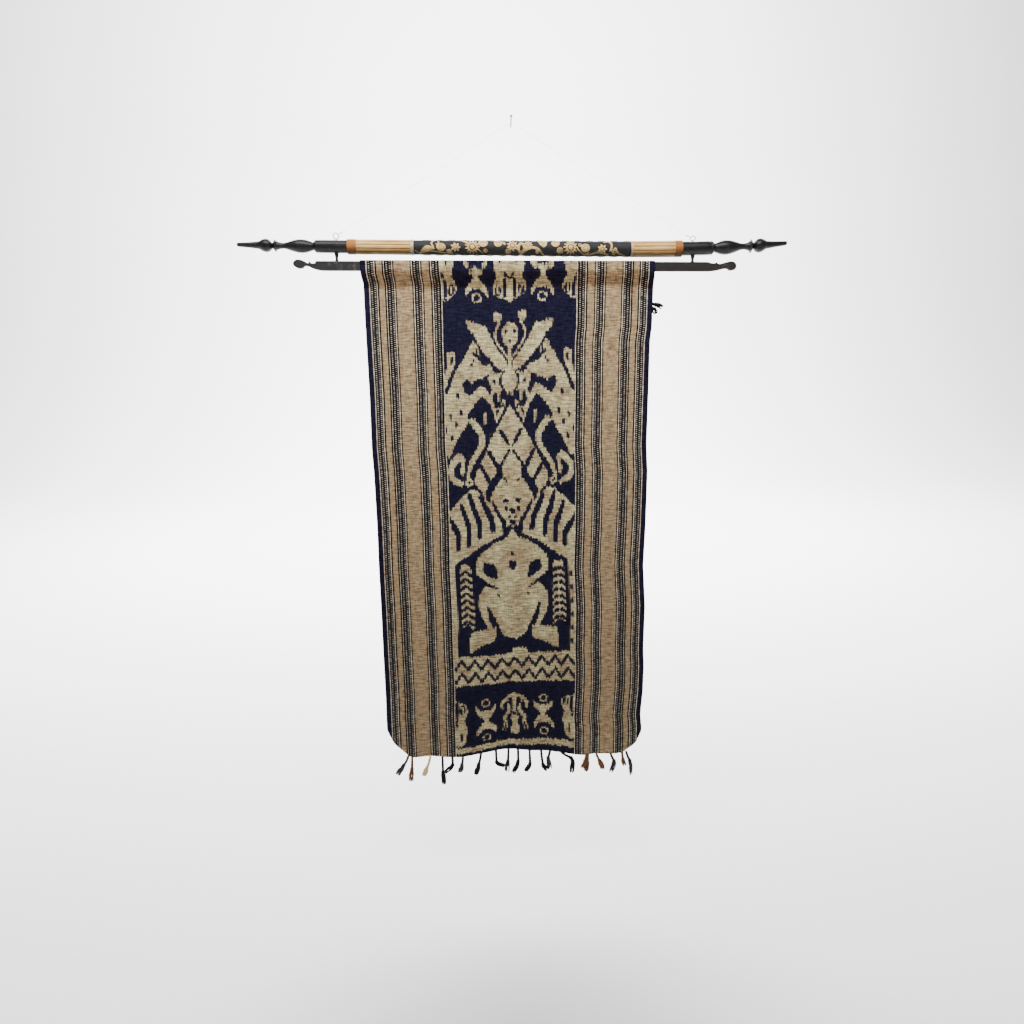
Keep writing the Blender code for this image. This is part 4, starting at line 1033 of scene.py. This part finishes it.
def draw_pole_spray(view):
    """The carved spray from end to end: flowers, curls and leaves on a running stem."""
    view.line([(-232, 8), (-224, 14)], [1.8, 1.4])
    view.patch([(-223, 15), (-215, 3), (-206, -3), (-197, -1), (-188, 4), (-200, 7), (-211, 11)])
    view.line([(-222, 15), (-200, 9), (-173, 12), (-152, 14)], [2.8, 2.6, 2.0])
    view.line([(-192, 0), (-196, -8), (-191, -16), (-183, -17), (-180, -10), (-186, -6)], [3.4, 3.0, 1.8])
    draw_rose(view, -176, 0, 9.8)
    draw_daisy(view, -145, 0, 10.5, 7)
    view.patch([(-166, 7), (-158, 4), (-152, 10), (-160, 14)])
    view.line([(-130, -17), (-121, -11), (-114, -6)], [6, 4])
    draw_daisy(view, -109, -1, 16.5, 13)
    draw_rose(view, -86, -10, 10)
    view.line([(-98, 3), (-92, 9), (-86, 14)], [2.2, 1.6])
    draw_rose(view, -81, 8, 5)
    draw_rose(view, -54, -9, 8.5)
    view.patch([(-45, -14), (-39, -12), (-38, -5), (-44, -8)])
    draw_daisy(view, -23, -4, 13, 9)
    draw_rose(view, -32, 9, 6.5)
    view.oval(-4, 1, 9, 13)
    view.hole(-4, 1, 3.6, 6.6)
    draw_daisy(view, 10, -6, 10.5, 9)
    view.line([(-5, 15), (6, 5), (19, 0), (31, 3), (38, 9), (44, 16)], [5, 5.5, 3])
    view.patch([(27, 5), (33, 7), (33, 14), (27, 12)])
    view.patch([(31, -17), (42, -20), (51, -15), (50, -5), (43, 0), (35, -7)])
    view.cut([(36, -14), (44, -6)], [0.9, 0.9])
    draw_rose(view, 69, -10, 9)
    draw_rose(view, 79, 6, 7.2)
    draw_daisy(view, 102, -1, 16, 12)
    view.ring(122, -6, 3.6, 3.6, 1.6)
    draw_rose(view, 134, 0, 9.5)
    view.line([(117, 2), (125, 9), (133, 14), (142, 9)], [2.6, 2.6, 2.0])
    view.line([(133, 15), (148, 13), (160, 9), (184, 14)], [3.0, 3.6, 3.0])
    draw_daisy(view, 171, 2, 10.5, 7)
    view.line([(175, -14), (184, -16), (191, -10), (191, -2), (187, 6)], [3, 4.6, 4.2, 3])
    for x, y in ((193, 5), (199, 2), (203, 8), (196, 11)):
        view.oval(x, y, 3.6, 3.4)
        view.hole(x, y, 1.1, 1.1)
    view.line([(203, 9), (212, 13), (221, 18)], [4, 2])
    for x in range(-216, 220, 27):
        view.line([(x, 22), (x + 9, 19), (x + 18, 22)], [2.2, 1.2])
        view.patch([(x + 2, -24), (x + 10, -28), (x + 17, -24), (x + 9, -20)])


def make_carved_centre(material):
    """The dark middle of the pole, with its raised floral sprays front and back."""
    ground = CARVED_RADIUS - CARVED_DEPTH
    piece = turn_on_lathe(section_rows(CARVED_START, CARVED_LENGTH, ground, 0.0012), 120, 60)
    points = points_of(piece.data)
    angle = np.arctan2(points[:, 2], -points[:, 1])
    around = angle * CARVED_RADIUS / MM
    half_turn = math.pi * CARVED_RADIUS / MM
    folded = np.where(np.abs(around) > half_turn / 2, np.abs(around) - half_turn, around)
    around = -np.where(np.abs(around) > half_turn / 2, np.sign(around) * folded, around)
    middle = CARVED_START + CARVED_LENGTH / 2
    across = (points[:, 0] - middle) / MM
    drift = 0.6 * wave_noise(across / 30, around / 12, 9)
    view = Drawing(across + drift, around + 0.5 * wave_noise(across / 22, around / 9, 8))
    draw_pole_spray(view)
    raised = smoothstep((0.9 - view.edge) / 1.4)
    radius = np.hypot(points[:, 1], points[:, 2])
    skin = radius > ground - 0.0001
    crown = 0.75 + 0.25 * smoothstep(-view.edge / 4)
    ends = smoothstep((0.2335 - np.abs(points[:, 0] - middle)) / 0.001)
    rise = np.where(skin, raised * crown * ends * CARVED_DEPTH, 0.0)
    grown = 1.0 + rise / np.maximum(radius, 0.001)
    points[:, 1:] *= grown[:, None]
    set_points(piece.data, points)
    carry(piece.data, "raised", raised)
    lay_on_pole(piece)
    return dress(piece, "carved_centre_relief", material, "carved_wood", "carved_centre")


def upright_at(x):
    """Stands a turned piece up across the pole."""
    return Matrix.Translation((x, HANGER_Y, 0)) @ Matrix.Rotation(math.radians(-90), 4, "Y")


def make_peg(name, x, material):
    shoulder = float(pole_axis_z(x) - SHAFT_RADIUS * girth_at(x)) - 0.0003
    foot = BAR_Z + drop_at(x) + BAR_HEIGHT / 2 + 0.0003
    low, high, pin = foot - 0.006, shoulder + 0.008, 0.0025
    rows = [(low, 0.0, True), (low, pin, True), (foot, pin, True), (foot, 0.0035, True)]
    rows += [(foot + 0.0012, 0.0035, False), (foot + (shoulder - foot) / 3, 0.0029, False)]
    rows += [(shoulder - 0.003, 0.0044, False), (shoulder - 0.001, 0.0046, True)]
    rows += [(shoulder, 0.0046, True), (shoulder, pin, True), (high, pin, True), (high, 0.0, True)]
    piece = turn_on_lathe(smooth_rows(rows, 4), 32, 40)
    piece.data.transform(upright_at(x))
    return dress(piece, name + "_turned", material, "black_wood", name)


def make_eye(name, x, middle, turn, lean, material):
    """A wire ring with its flared neck and threaded shank."""
    spin = Matrix.Rotation(math.radians(turn), 4, "Z") @ Matrix.Rotation(math.radians(lean), 4, "X")
    place = Matrix.Translation(middle) @ spin @ Matrix.Rotation(math.radians(90), 4, "X")
    nothing_selected()
    bpy.ops.mesh.primitive_torus_add(
        major_radius=EYE_RADIUS, minor_radius=EYE_WIRE, major_segments=56, minor_segments=14
    )
    ring = bpy.context.object
    ring.data.transform(place)
    foot = float(pole_axis_z(x) + SHAFT_RADIUS * girth_at(x))
    rows = [(foot - 0.009, 0.0), (foot - 0.0085, 0.0008)]
    for k in range(7):
        rows += [(foot - 0.008 + 0.001 * k, 0.0012), (foot - 0.0075 + 0.001 * k, 0.0009)]
    rows += [(foot + 0.0002, 0.0013), (foot + 0.0012, 0.0011), (foot + 0.0018, 0.0013)]
    rows += [(foot + 0.0026, 0.0008), (foot + 0.0026, 0.0)]
    shank = turn_on_lathe(rows, 20, 30)
    shank.data.transform(upright_at(x))
    nothing_selected()
    shank.select_set(True)
    ring.select_set(True)
    bpy.context.view_layer.objects.active = ring
    bpy.ops.object.join()
    bpy.ops.object.shade_smooth_by_angle(angle=math.radians(50))
    return dress(ring, name + "_wire", material, "steel", name)


# Line


def make_line(material):
    curve = bpy.data.curves.new("clear_line", "CURVE")
    curve.dimensions = "3D"
    curve.bevel_depth = LINE_RADIUS
    curve.bevel_resolution = 3
    curve.use_fill_caps = True
    spline = curve.splines.new("POLY")
    spline.points.add(len(LINE_ROUTE) - 1)
    for point, place in zip(spline.points, LINE_ROUTE):
        point.co = (*place, 1.0)
    line = bpy.data.objects.new("clear_line", curve)
    bpy.context.scene.collection.objects.link(line)
    dress(line, "clear_line", material, "clear_nylon", "hanging_line")
    for name, over, onward in (
        ("line_knot_left", LINE_ROUTE[1], LINE_ROUTE[2]),
        ("line_knot_right", LINE_ROUTE[-2], LINE_ROUTE[-3]),
    ):
        make_knot(name, Vector(over), Vector(onward), material)
    return line


def make_knot(name, over, onward, material):
    """A few close turns of the line where it is tied off beside the eye, with a short end."""
    ahead = (onward - over).normalized()
    aside = ahead.cross(Vector((0, 1, 0))).normalized()
    forth = ahead.cross(aside)
    path = []
    for k in range(61):
        turn = k / 60 * 10 * math.pi
        place = over + ahead * (0.003 + 0.0045 * k / 60)
        path.append(place + (aside * math.cos(turn) + forth * math.sin(turn)) * 0.0009)
    for k in range(1, 5):
        path.append(path[60] + aside * 0.0004 * k + ahead * 0.0005 * k)
    points, faces = tube(path, np.full(len(path), LINE_RADIUS), 8)
    return dress(piece_of(name, points, faces, 180), name, material, "clear_nylon")


# Materials


def linear(red, green, blue):
    """A colour given as screen values from 0 to 255, for use in a shader."""
    shares = [value / 255 for value in (red, green, blue)]
    made = [share / 12.92 if share <= 0.04045 else ((share + 0.055) / 1.055) ** 2.4 for share in shares]
    return (*made, 1.0)


class Signal:
    """A value or colour inside a finish, which can be worked with like a number."""

    def __init__(self, finish, socket):
        self.finish = finish
        self.socket = socket

    def calc(self, operation, *others):
        return self.finish.node("ShaderNodeMath", dict(enumerate((self, *others))), operation=operation)

    def __add__(self, other):
        return self.calc("ADD", other)

    def __sub__(self, other):
        return self.calc("SUBTRACT", other)

    def __mul__(self, other):
        return self.calc("MULTIPLY", other)

    def __truediv__(self, other):
        return self.calc("DIVIDE", other)

    def __lt__(self, other):
        return self.calc("LESS_THAN", other)

    def __gt__(self, other):
        return self.calc("GREATER_THAN", other)

    def __abs__(self):
        return self.calc("ABSOLUTE")

    def __rsub__(self, other):
        return self.finish.node("ShaderNodeMath", {0: other, 1: self}, operation="SUBTRACT")

    def ease(self, low, high, to_low=0.0, to_high=1.0):
        """Runs softly from one value to another between two levels of this one."""
        inputs = {0: self, 1: low, 2: high, 3: to_low, 4: to_high}
        return self.finish.node("ShaderNodeMapRange", inputs, interpolation_type="SMOOTHSTEP")


class Finish:
    """A material, with short ways to make its nodes. A colour of three numbers is in screen values."""

    def __init__(self, name, roughness, specular=0.5):
        self.material = bpy.data.materials.new(name + "_finish")
        self.material.use_nodes = True
        self.tree = self.material.node_tree
        self.shader = self.tree.nodes["Principled BSDF"]
        self.give("Roughness", roughness)
        self.give("Specular IOR Level", specular)

    def feed(self, socket, value):
        if isinstance(value, Signal):
            self.tree.links.new(value.socket, socket)
        elif isinstance(value, tuple) and len(value) == 3 and socket.type == "RGBA":
            socket.default_value = linear(*value)
        else:
            socket.default_value = value

    def give(self, name, value):
        self.feed(self.shader.inputs[name], value)

    def node(self, kind, inputs, output=0, **settings):
        made = self.tree.nodes.new(kind)
        for key, value in settings.items():
            setattr(made, key, value)
        for key, value in inputs.items():
            self.feed(made.inputs[key], value)
        return Signal(self, made.outputs[output])

    def carried(self, name, output="Fac"):
        """What the mesh carries at its points or corners."""
        return self.node("ShaderNodeAttribute", {}, output, attribute_name=name)

    def place(self, x, y, z=0.0):
        return self.node("ShaderNodeCombineXYZ", {0: x, 1: y, 2: z})

    def noise(self, vector, scale=1.0, detail=3.0, roughness=0.5):
        inputs = {"Vector": vector, "Scale": scale, "Detail": detail, "Roughness": roughness}
        return self.node("ShaderNodeTexNoise", inputs)

    def grain(self, scale, detail=3.0, roughness=0.5):
        """Noise over the object's own space; the scale is one number or one for each axis."""
        source = self.node("ShaderNodeTexCoord", {}, "Object")
        scale = scale if isinstance(scale, tuple) else (scale, scale, scale)
        stretched = self.node("ShaderNodeMapping", {"Vector": source, "Scale": scale})
        return self.noise(stretched, 1.0, detail, roughness)

    def mix(self, share, first, second, kind="MIX"):
        inputs = {0: share, 6: first, 7: second}
        return self.node("ShaderNodeMix", inputs, 2, data_type="RGBA", blend_type=kind)

    def tinted(self, colour, tint):
        return self.mix(1.0, colour, tint, "MULTIPLY")

    def shaded(self, colour, shade):
        return self.tinted(colour, self.place(shade, shade, shade))

    def underside_shade(self, colour, least):
        """Paints light on the top of the pole and shade on its underside, by how far each place faces down.
        """
        return self.shaded(colour, self.carried("underside").ease(0.0, 1.0, 1.15, least))

    def made(self, colour, roughness=None, height=None, strength=0.0, distance=0.0):
        """The finished material, from its colour and, where given, its roughness and fine relief."""
        self.give("Base Color", colour)
        if roughness is not None:
            self.give("Roughness", roughness)
        if height is not None:
            inputs = {"Height": height, "Strength": strength, "Distance": distance}
            self.give("Normal", self.node("ShaderNodeBump", inputs))
        return self.material


def stripe_colours(finish, units):
    """The side stripes as one ramp over the stripe units."""
    ramp = finish.node("ShaderNodeValToRGB", {0: units / STRIPE_SPAN})
    steps = ramp.socket.node.color_ramp
    steps.interpolation = "CONSTANT"
    points = steps.elements
    while len(points) > 1:
        points.remove(points[-1])
    points[0].position = 0.0
    points[0].color = linear(*CLOTH_COLOURS[STRIPES[0][1]])
    for start, name in STRIPES[1:]:
        points.new(start / STRIPE_SPAN).color = linear(*CLOTH_COLOURS[name])
    return ramp


def warp_dots(woven, units, down):
    """How far a place lies on a dot: two staggered rows of small pale dots in every dark stripe."""
    shifted = units + (units < 12.0) * 1.05
    local = abs(abs(shifted - 37.125) - 22.3) - 8.67
    beside = (abs(local) - 1.6) / 0.85
    above = ((down / DOT_PITCH + (local > 0.0) * 0.5).calc("FRACT") - 0.5) / 0.24
    far = (beside * beside + above * above).calc("SQRT")
    worn = woven(5.0, 6.0, 1.0, 2.0).ease(0.30, 0.62, 0.35, 1.0)
    return (1.0 - far.ease(0.75, 1.15)) * worn * (abs(local) < 2.8)


def ikat_cotton():
    """Warp-faced cotton: tied and dyed centre panel, plain and dotted stripes at the sides."""
    finish = Finish("ikat_cotton", 0.95, 0.04)
    finish.give("Sheen Weight", 0.02)
    across = finish.carried("across_mm")
    down = finish.carried("down_mm")

    def woven(wide, long, *settings):
        """Noise stretched over so many millimetres of weft and warp."""
        return finish.noise(finish.place(across / wide, down / long), *settings)

    fine = woven(0.7, 9.0, 1.0, 1.0) - 0.5
    streak = woven(1.5, 34.0, 1.0, 2.0, 0.6) - 0.5
    lean = finish.carried("feather").calc("POWER", 1.5).calc("MAXIMUM", 0.06)
    edge = finish.carried("edge_mm") + (streak + fine * 0.4) * 12.0 * lean
    patchy = woven(42.0, 60.0)
    cream = finish.mix(patchy.ease(0.35, 0.7), CLOTH_COLOURS["cream"], (182, 158, 122))
    weft = woven(34.0, 2.6, 1.0, 2.0)
    cream = finish.mix(weft.ease(0.50, 0.68, 0.0, 0.62), cream, (122, 104, 84))
    weak_dye = woven(1.5, 34.0, 2.3, 2.0).ease(0.58, 0.75, 0.0, 0.35)
    cream = finish.mix(weak_dye, cream, (150, 136, 112))
    worn = woven(1.5, 34.0, 0.6, 4.0, 0.7).ease(0.55, 0.8, 0.0, 0.30)
    navy = finish.mix(worn, CLOTH_COLOURS["navy"], (50, 48, 70))
    panel = finish.mix(1.0 - edge.ease(-1.2, 0.5), navy, cream)

    outside = abs(across) - PANEL_HALF
    units = (outside + fine * 0.35) / STRIPE_UNIT
    stripes = stripe_colours(finish, units)
    blotch = woven(20.0, 34.0, 1.0, 4.0, 0.65).ease(0.40, 0.66, 0.0, 0.8)
    stripes = finish.mix(blotch, stripes, (0.90, 0.80, 0.80, 1.0), "MULTIPLY")
    stripes = finish.tinted(stripes, (1.0, 0.97, 0.96, 1.0))
    tint = woven(9.0, 26.0, 1.0, 1.0)
    dot_colour = finish.mix(tint.ease(0.60, 0.72), (214, 206, 190), (176, 136, 112))
    dot_colour = finish.mix(tint.ease(0.40, 0.30), dot_colour, (132, 152, 146))
    stripes = finish.mix(warp_dots(woven, units, down), stripes, dot_colour)

    cloth = finish.mix(outside > 0.0, panel, stripes)
    slubs = woven(20.0, 3.2, 1.0, 3.0, 0.6).ease(0.34, 0.66, 0.50, 1.30)
    warp_shade = woven(3.0, 16.0, 1.0, 3.0, 0.6).ease(0.30, 0.70, 0.72, 1.22)
    # darker towards the bottom: mostly painted shade of the light falling off, partly the cloth's own
    # browner lower part
    browner_and_shaded_below = down.ease(240.0, 1500.0, 1.06, 0.56)
    cloth = finish.shaded(cloth, slubs * warp_shade * browner_and_shaded_below)
    # painted shade in the band where the cloth tucks in under the bar
    below = down + (patchy - 0.5) * 26.0
    tuck_shade_band = below.ease(287.0, 296.0) * below.ease(334.0, 322.0)
    tuck_shaded = finish.tinted(cloth, (0.50, 0.42, 0.36, 1.0))
    warp_rib = (across * (2 * math.pi / WARP_PITCH)).calc("SINE")
    weft_rib = (down * (2 * math.pi / WEFT_PITCH)).calc("SINE")
    ribs = warp_rib + weft_rib * 0.55 + fine * 2.0
    return finish.made(finish.mix(tuck_shade_band * 0.85, cloth, tuck_shaded), None, ribs, 0.35, 0.00018)


def fringe_yarn():
    finish = Finish("fringe_yarn", 0.9, 0.1)
    finish.give("Sheen Weight", 0.05)
    fuzz = finish.grain((900.0, 900.0, 350.0))
    colour = finish.carried("yarn_colour", "Color")
    colour = finish.shaded(colour, fuzz.ease(0.3, 0.7, 0.65, 1.35))
    return finish.made(colour, None, fuzz, 0.5, 0.0003)


def black_wood():
    """Black lacquer over turned wood, rubbed thin in scattered patches."""
    finish = Finish("black_wood", 0.34, 0.35)
    lines = finish.grain((55.0, 420.0, 420.0), 4.0, 0.6)
    tools = finish.grain((900.0, 20.0, 20.0), 2.0)
    rubbed = finish.grain(70.0, 5.0, 0.7).ease(0.52, 0.72)
    colour = finish.mix(lines.ease(0.4, 0.7), (11, 12, 12), (24, 25, 24))
    colour = finish.mix(rubbed * 0.25, colour, (76, 68, 56))
    return finish.made(colour, lines.ease(0.2, 0.8, 0.26, 0.48), lines + tools * 0.8, 0.25, 0.0003)


def bar_wood():
    """Dark stained bar, greyish at the left and browner towards the right, with long grain."""
    finish = Finish("grey_bar_wood", 0.5, 0.4)
    source = finish.node("ShaderNodeTexCoord", {}, "Object")
    x = finish.node("ShaderNodeSeparateXYZ", {0: source})
    lines = finish.grain((14.0, 300.0, 300.0), 5.0, 0.65)
    colour = finish.mix(x.ease(-0.1, 0.45), (40, 39, 44), (40, 33, 30))
    colour = finish.mix(lines.ease(0.35, 0.7, 0.0, 0.65), colour, (34, 31, 32))
    worn = finish.grain(60.0, 4.0).ease(0.56, 0.74, 0.0, 0.45)
    colour = finish.mix(worn, colour, (112, 96, 82))
    return finish.made(colour, lines.ease(0.2, 0.8, 0.4, 0.62), lines, 0.35, 0.0004)


def stained_wood(name, pale, deep, line_colour, groove_name=None):
    """Clear-finished wood with grain along the pole; grooves get painted shade where the mesh says so."""
    finish = Finish(name, 0.55, 0.2)
    lines = finish.grain((22.0, 520.0, 520.0), 5.0, 0.62)
    broad = finish.grain((18.0, 60.0, 60.0), 2.0)
    colour = finish.mix(broad.ease(0.3, 0.7), pale, deep)
    colour = finish.mix(lines.ease(0.5, 0.75, 0.0, 0.5), colour, line_colour)
    # painted shade in the grooves between the reeds
    if groove_name:
        depth = finish.carried(groove_name).ease(0.36, 0.70, 0.0, 0.94)
        colour = finish.mix(depth, colour, (48, 28, 16))
    # painted shade on the underside and painted light on the top
    colour = finish.underside_shade(colour, 0.22)
    return finish.made(colour, lines.ease(0.2, 0.8, 0.48, 0.65), lines, 0.25, 0.0003)


def carved_wood():
    """Dark ground with rubbed golden relief."""
    finish = Finish("carved_wood", 0.5, 0.3)
    spots = finish.grain(260.0, 4.0, 0.6)
    level = finish.carried("raised") + (spots - 0.5) * 0.35
    gold = finish.mix(spots.ease(0.35, 0.7), (244, 212, 142), (200, 148, 80))
    ground = finish.mix(spots.ease(0.3, 0.75), (30, 29, 32), (46, 42, 43))
    colour = finish.mix(level.ease(0.45, 0.8), ground, gold)
    # painted shade on the underside and painted light on the top
    colour = finish.underside_shade(colour, 0.16)
    return finish.made(colour, level.ease(0.2, 0.9, 0.62, 0.42), spots, 0.3, 0.0004)


def ring_bone():
    finish = Finish("cream_bone", 0.4, 0.45)
    cloudy = finish.grain((90.0, 160.0, 160.0), 4.0)
    colour = finish.mix(cloudy.ease(0.35, 0.7), (222, 196, 150), (196, 160, 112))
    pores = finish.grain(1400.0, 2.0).ease(0.62, 0.74)
    colour = finish.mix(pores * 0.4, colour, (120, 96, 70))
    # painted shade on the underside and painted light on the top
    return finish.made(finish.underside_shade(colour, 0.24), None, cloudy, 0.15, 0.0002)


def wire_steel(name, colour, dull):
    finish = Finish(name, dull)
    finish.give("Metallic", 1.0)
    marks = finish.grain(1100.0)
    tarnish = finish.grain(380.0, 4.0).ease(0.5, 0.75, 0.0, 0.6)
    colour = finish.mix(tarnish, colour, tuple(value * 0.45 for value in colour))
    return finish.made(colour, marks.ease(0.2, 0.8, dull - 0.08, dull + 0.15), marks, 0.2, 0.0001)


def clear_nylon():
    finish = Finish("clear_nylon", 0.18)
    finish.give("Transmission Weight", 0.75)
    finish.give("IOR", 1.53)
    drawn = finish.grain(220.0, 2.0)
    colour = finish.mix(drawn.ease(0.4, 0.6), (222, 226, 222), (206, 212, 210))
    return finish.made(colour, drawn.ease(0.3, 0.7, 0.12, 0.24))


# Camera, floor and light


CAMERA_PLACE = (-0.08441, -1.74460, -0.45403)
CAMERA_RIGHT = (0.99883875, -0.04664653, -0.01205244)
CAMERA_UP = (0.02170563, 0.21235843, 0.97695075)
FOCAL_SHARE = 760.0 / 1024.0
FLOOR_Z = -1.80
FLOOR_SIZE = (30, 10, 1)
SWEEP_RADIUS = 3.0
BACKDROP_TOP = 9.0
WORLD_STRENGTH = 0.34
LIGHTS = (
    # name, place, target, size, power
    ("key", (-0.15, -0.80, 0.82), (0.0, 0.0, -0.45), (1.8, 0.6), 38),
    ("floor_light", (0.0, 3.4, 1.9), (0.0, 3.4, -1.8), (6.0, 3.0), 900),
    ("backdrop_light", (0.0, 2.4, 3.6), (0.0, 7.5, 0.8), (6.0, 2.0), 2200),
)


def place_camera():
    data = bpy.data.cameras.new("camera")
    data.sensor_width = 36.0
    data.lens = data.sensor_width * FOCAL_SHARE
    data.clip_start = 0.05
    data.clip_end = 100.0
    camera = bpy.data.objects.new("camera", data)
    bpy.context.scene.collection.objects.link(camera)
    right = Vector(CAMERA_RIGHT)
    upward = Vector(CAMERA_UP)
    back = right.cross(upward)
    turn = Matrix((right, upward, back)).transposed().to_4x4()
    camera.matrix_world = Matrix.Translation(CAMERA_PLACE) @ turn
    bpy.context.scene.camera = camera


def lay_floor():
    """A pale floor that sweeps up into a backdrop."""
    nothing_selected()
    bpy.ops.mesh.primitive_plane_add(size=1.0, location=(0, 0, FLOOR_Z))
    floor = bpy.context.object
    bpy.ops.object.mode_set(mode="EDIT")
    bpy.ops.transform.resize(value=FLOOR_SIZE)
    bpy.ops.object.mode_set(mode="OBJECT")
    bpy.ops.object.transform_apply(location=True, rotation=True, scale=True)
    bm = bmesh.new()
    bm.from_mesh(floor.data)
    rear_y = FLOOR_SIZE[1] / 2
    rear = [edge for edge in bm.edges if all(vert.co.y > rear_y - 0.1 for vert in edge.verts)]
    for k in range(1, 13):
        made = bmesh.ops.extrude_edge_only(bm, edges=rear)
        rear = [item for item in made["geom"] if isinstance(item, bmesh.types.BMEdge)]
        turn = math.radians(90) * k / 12
        for vert in {vert for edge in rear for vert in edge.verts}:
            vert.co.y = rear_y + SWEEP_RADIUS * math.sin(turn)
            vert.co.z = FLOOR_Z + SWEEP_RADIUS * (1 - math.cos(turn))
    made = bmesh.ops.extrude_edge_only(bm, edges=rear)
    for item in made["geom"]:
        if isinstance(item, bmesh.types.BMVert):
            item.co.z = BACKDROP_TOP
    bm.to_mesh(floor.data)
    bm.free()
    for polygon in floor.data.polygons:
        polygon.use_smooth = True
    floor.name = "floor"
    finish = Finish("floor", 0.9, 0.2)
    colour = finish.mix(finish.grain(0.6, 2.0), (240, 240, 240), (245, 245, 245))
    floor.data.materials.append(finish.made(colour))


def add_light(name, place, target, size, power):
    data = bpy.data.lights.new(name, "AREA")
    data.shape = "RECTANGLE"
    data.size, data.size_y = size
    data.energy = power
    light = bpy.data.objects.new(name, data)
    light.visible_camera = False
    bpy.context.scene.collection.objects.link(light)
    light.location = place
    light.rotation_mode = "QUATERNION"
    light.rotation_quaternion = (Vector(target) - Vector(place)).to_track_quat("-Z", "Y")


def light_studio():
    world = bpy.data.worlds.new("studio")
    bpy.context.scene.world = world
    world.use_nodes = True
    background = world.node_tree.nodes["Background"]
    background.inputs["Color"].default_value = (1.0, 1.0, 1.0, 1.0)
    background.inputs["Strength"].default_value = WORLD_STRENGTH
    for row in LIGHTS:
        add_light(*row)


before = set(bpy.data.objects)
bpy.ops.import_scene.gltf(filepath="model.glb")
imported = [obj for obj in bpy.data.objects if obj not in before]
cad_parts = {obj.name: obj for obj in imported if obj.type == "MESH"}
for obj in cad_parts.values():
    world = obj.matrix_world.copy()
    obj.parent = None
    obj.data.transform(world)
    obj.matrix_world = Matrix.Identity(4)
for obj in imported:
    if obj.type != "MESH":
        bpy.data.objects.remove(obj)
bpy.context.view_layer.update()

place_camera()
light_studio()
lay_floor()

line = make_line(clear_nylon())

yarn = fringe_yarn()
cloth = make_cloth(ikat_cotton())
front_fringe = make_fringe("fringe_front_yarn", FRONT_TASSELS, front_root, 5, 12, yarn, "fringe_front")
back_fringe = make_fringe("fringe_back_yarn", back_rows(), back_root, 6, 7, yarn, "fringe_back")

lacquer = black_wood()
make_turned_end("turned_end_left", POLE_TIPS[0], 1, lacquer)
make_turned_end("turned_end_right", POLE_TIPS[1], -1, lacquer)
finishes = {
    "orange_wood": stained_wood("orange_wood", (186, 124, 66), (150, 94, 46), (92, 56, 30)),
    "cream_bone": ring_bone(),
}
for node, start, length, radius, slot in PLAIN_RINGS:
    make_ring(node, start, length, radius, slot, finishes[slot])
natural = stained_wood("natural_wood", (246, 206, 132), (222, 170, 96), (156, 106, 56), "groove")
for node, start, length, radius in REEDED:
    make_reeded(node, start, length, radius, natural)
make_carved_centre(carved_wood())
for node, x in PEGS:
    make_peg(node, x, lacquer)
eye_steel = wire_steel("steel", (186, 182, 174), 0.28)
for node, x, middle, turn, lean in EYES:
    make_eye(node, x, middle, turn, lean, eye_steel)

for node, finish in (("flat_bar", bar_wood()), ("wall_nail", wire_steel("iron", (74, 68, 62), 0.45))):
    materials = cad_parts[node].data.materials
    materials.clear()
    materials.append(finish)

bpy.context.view_layer.update()
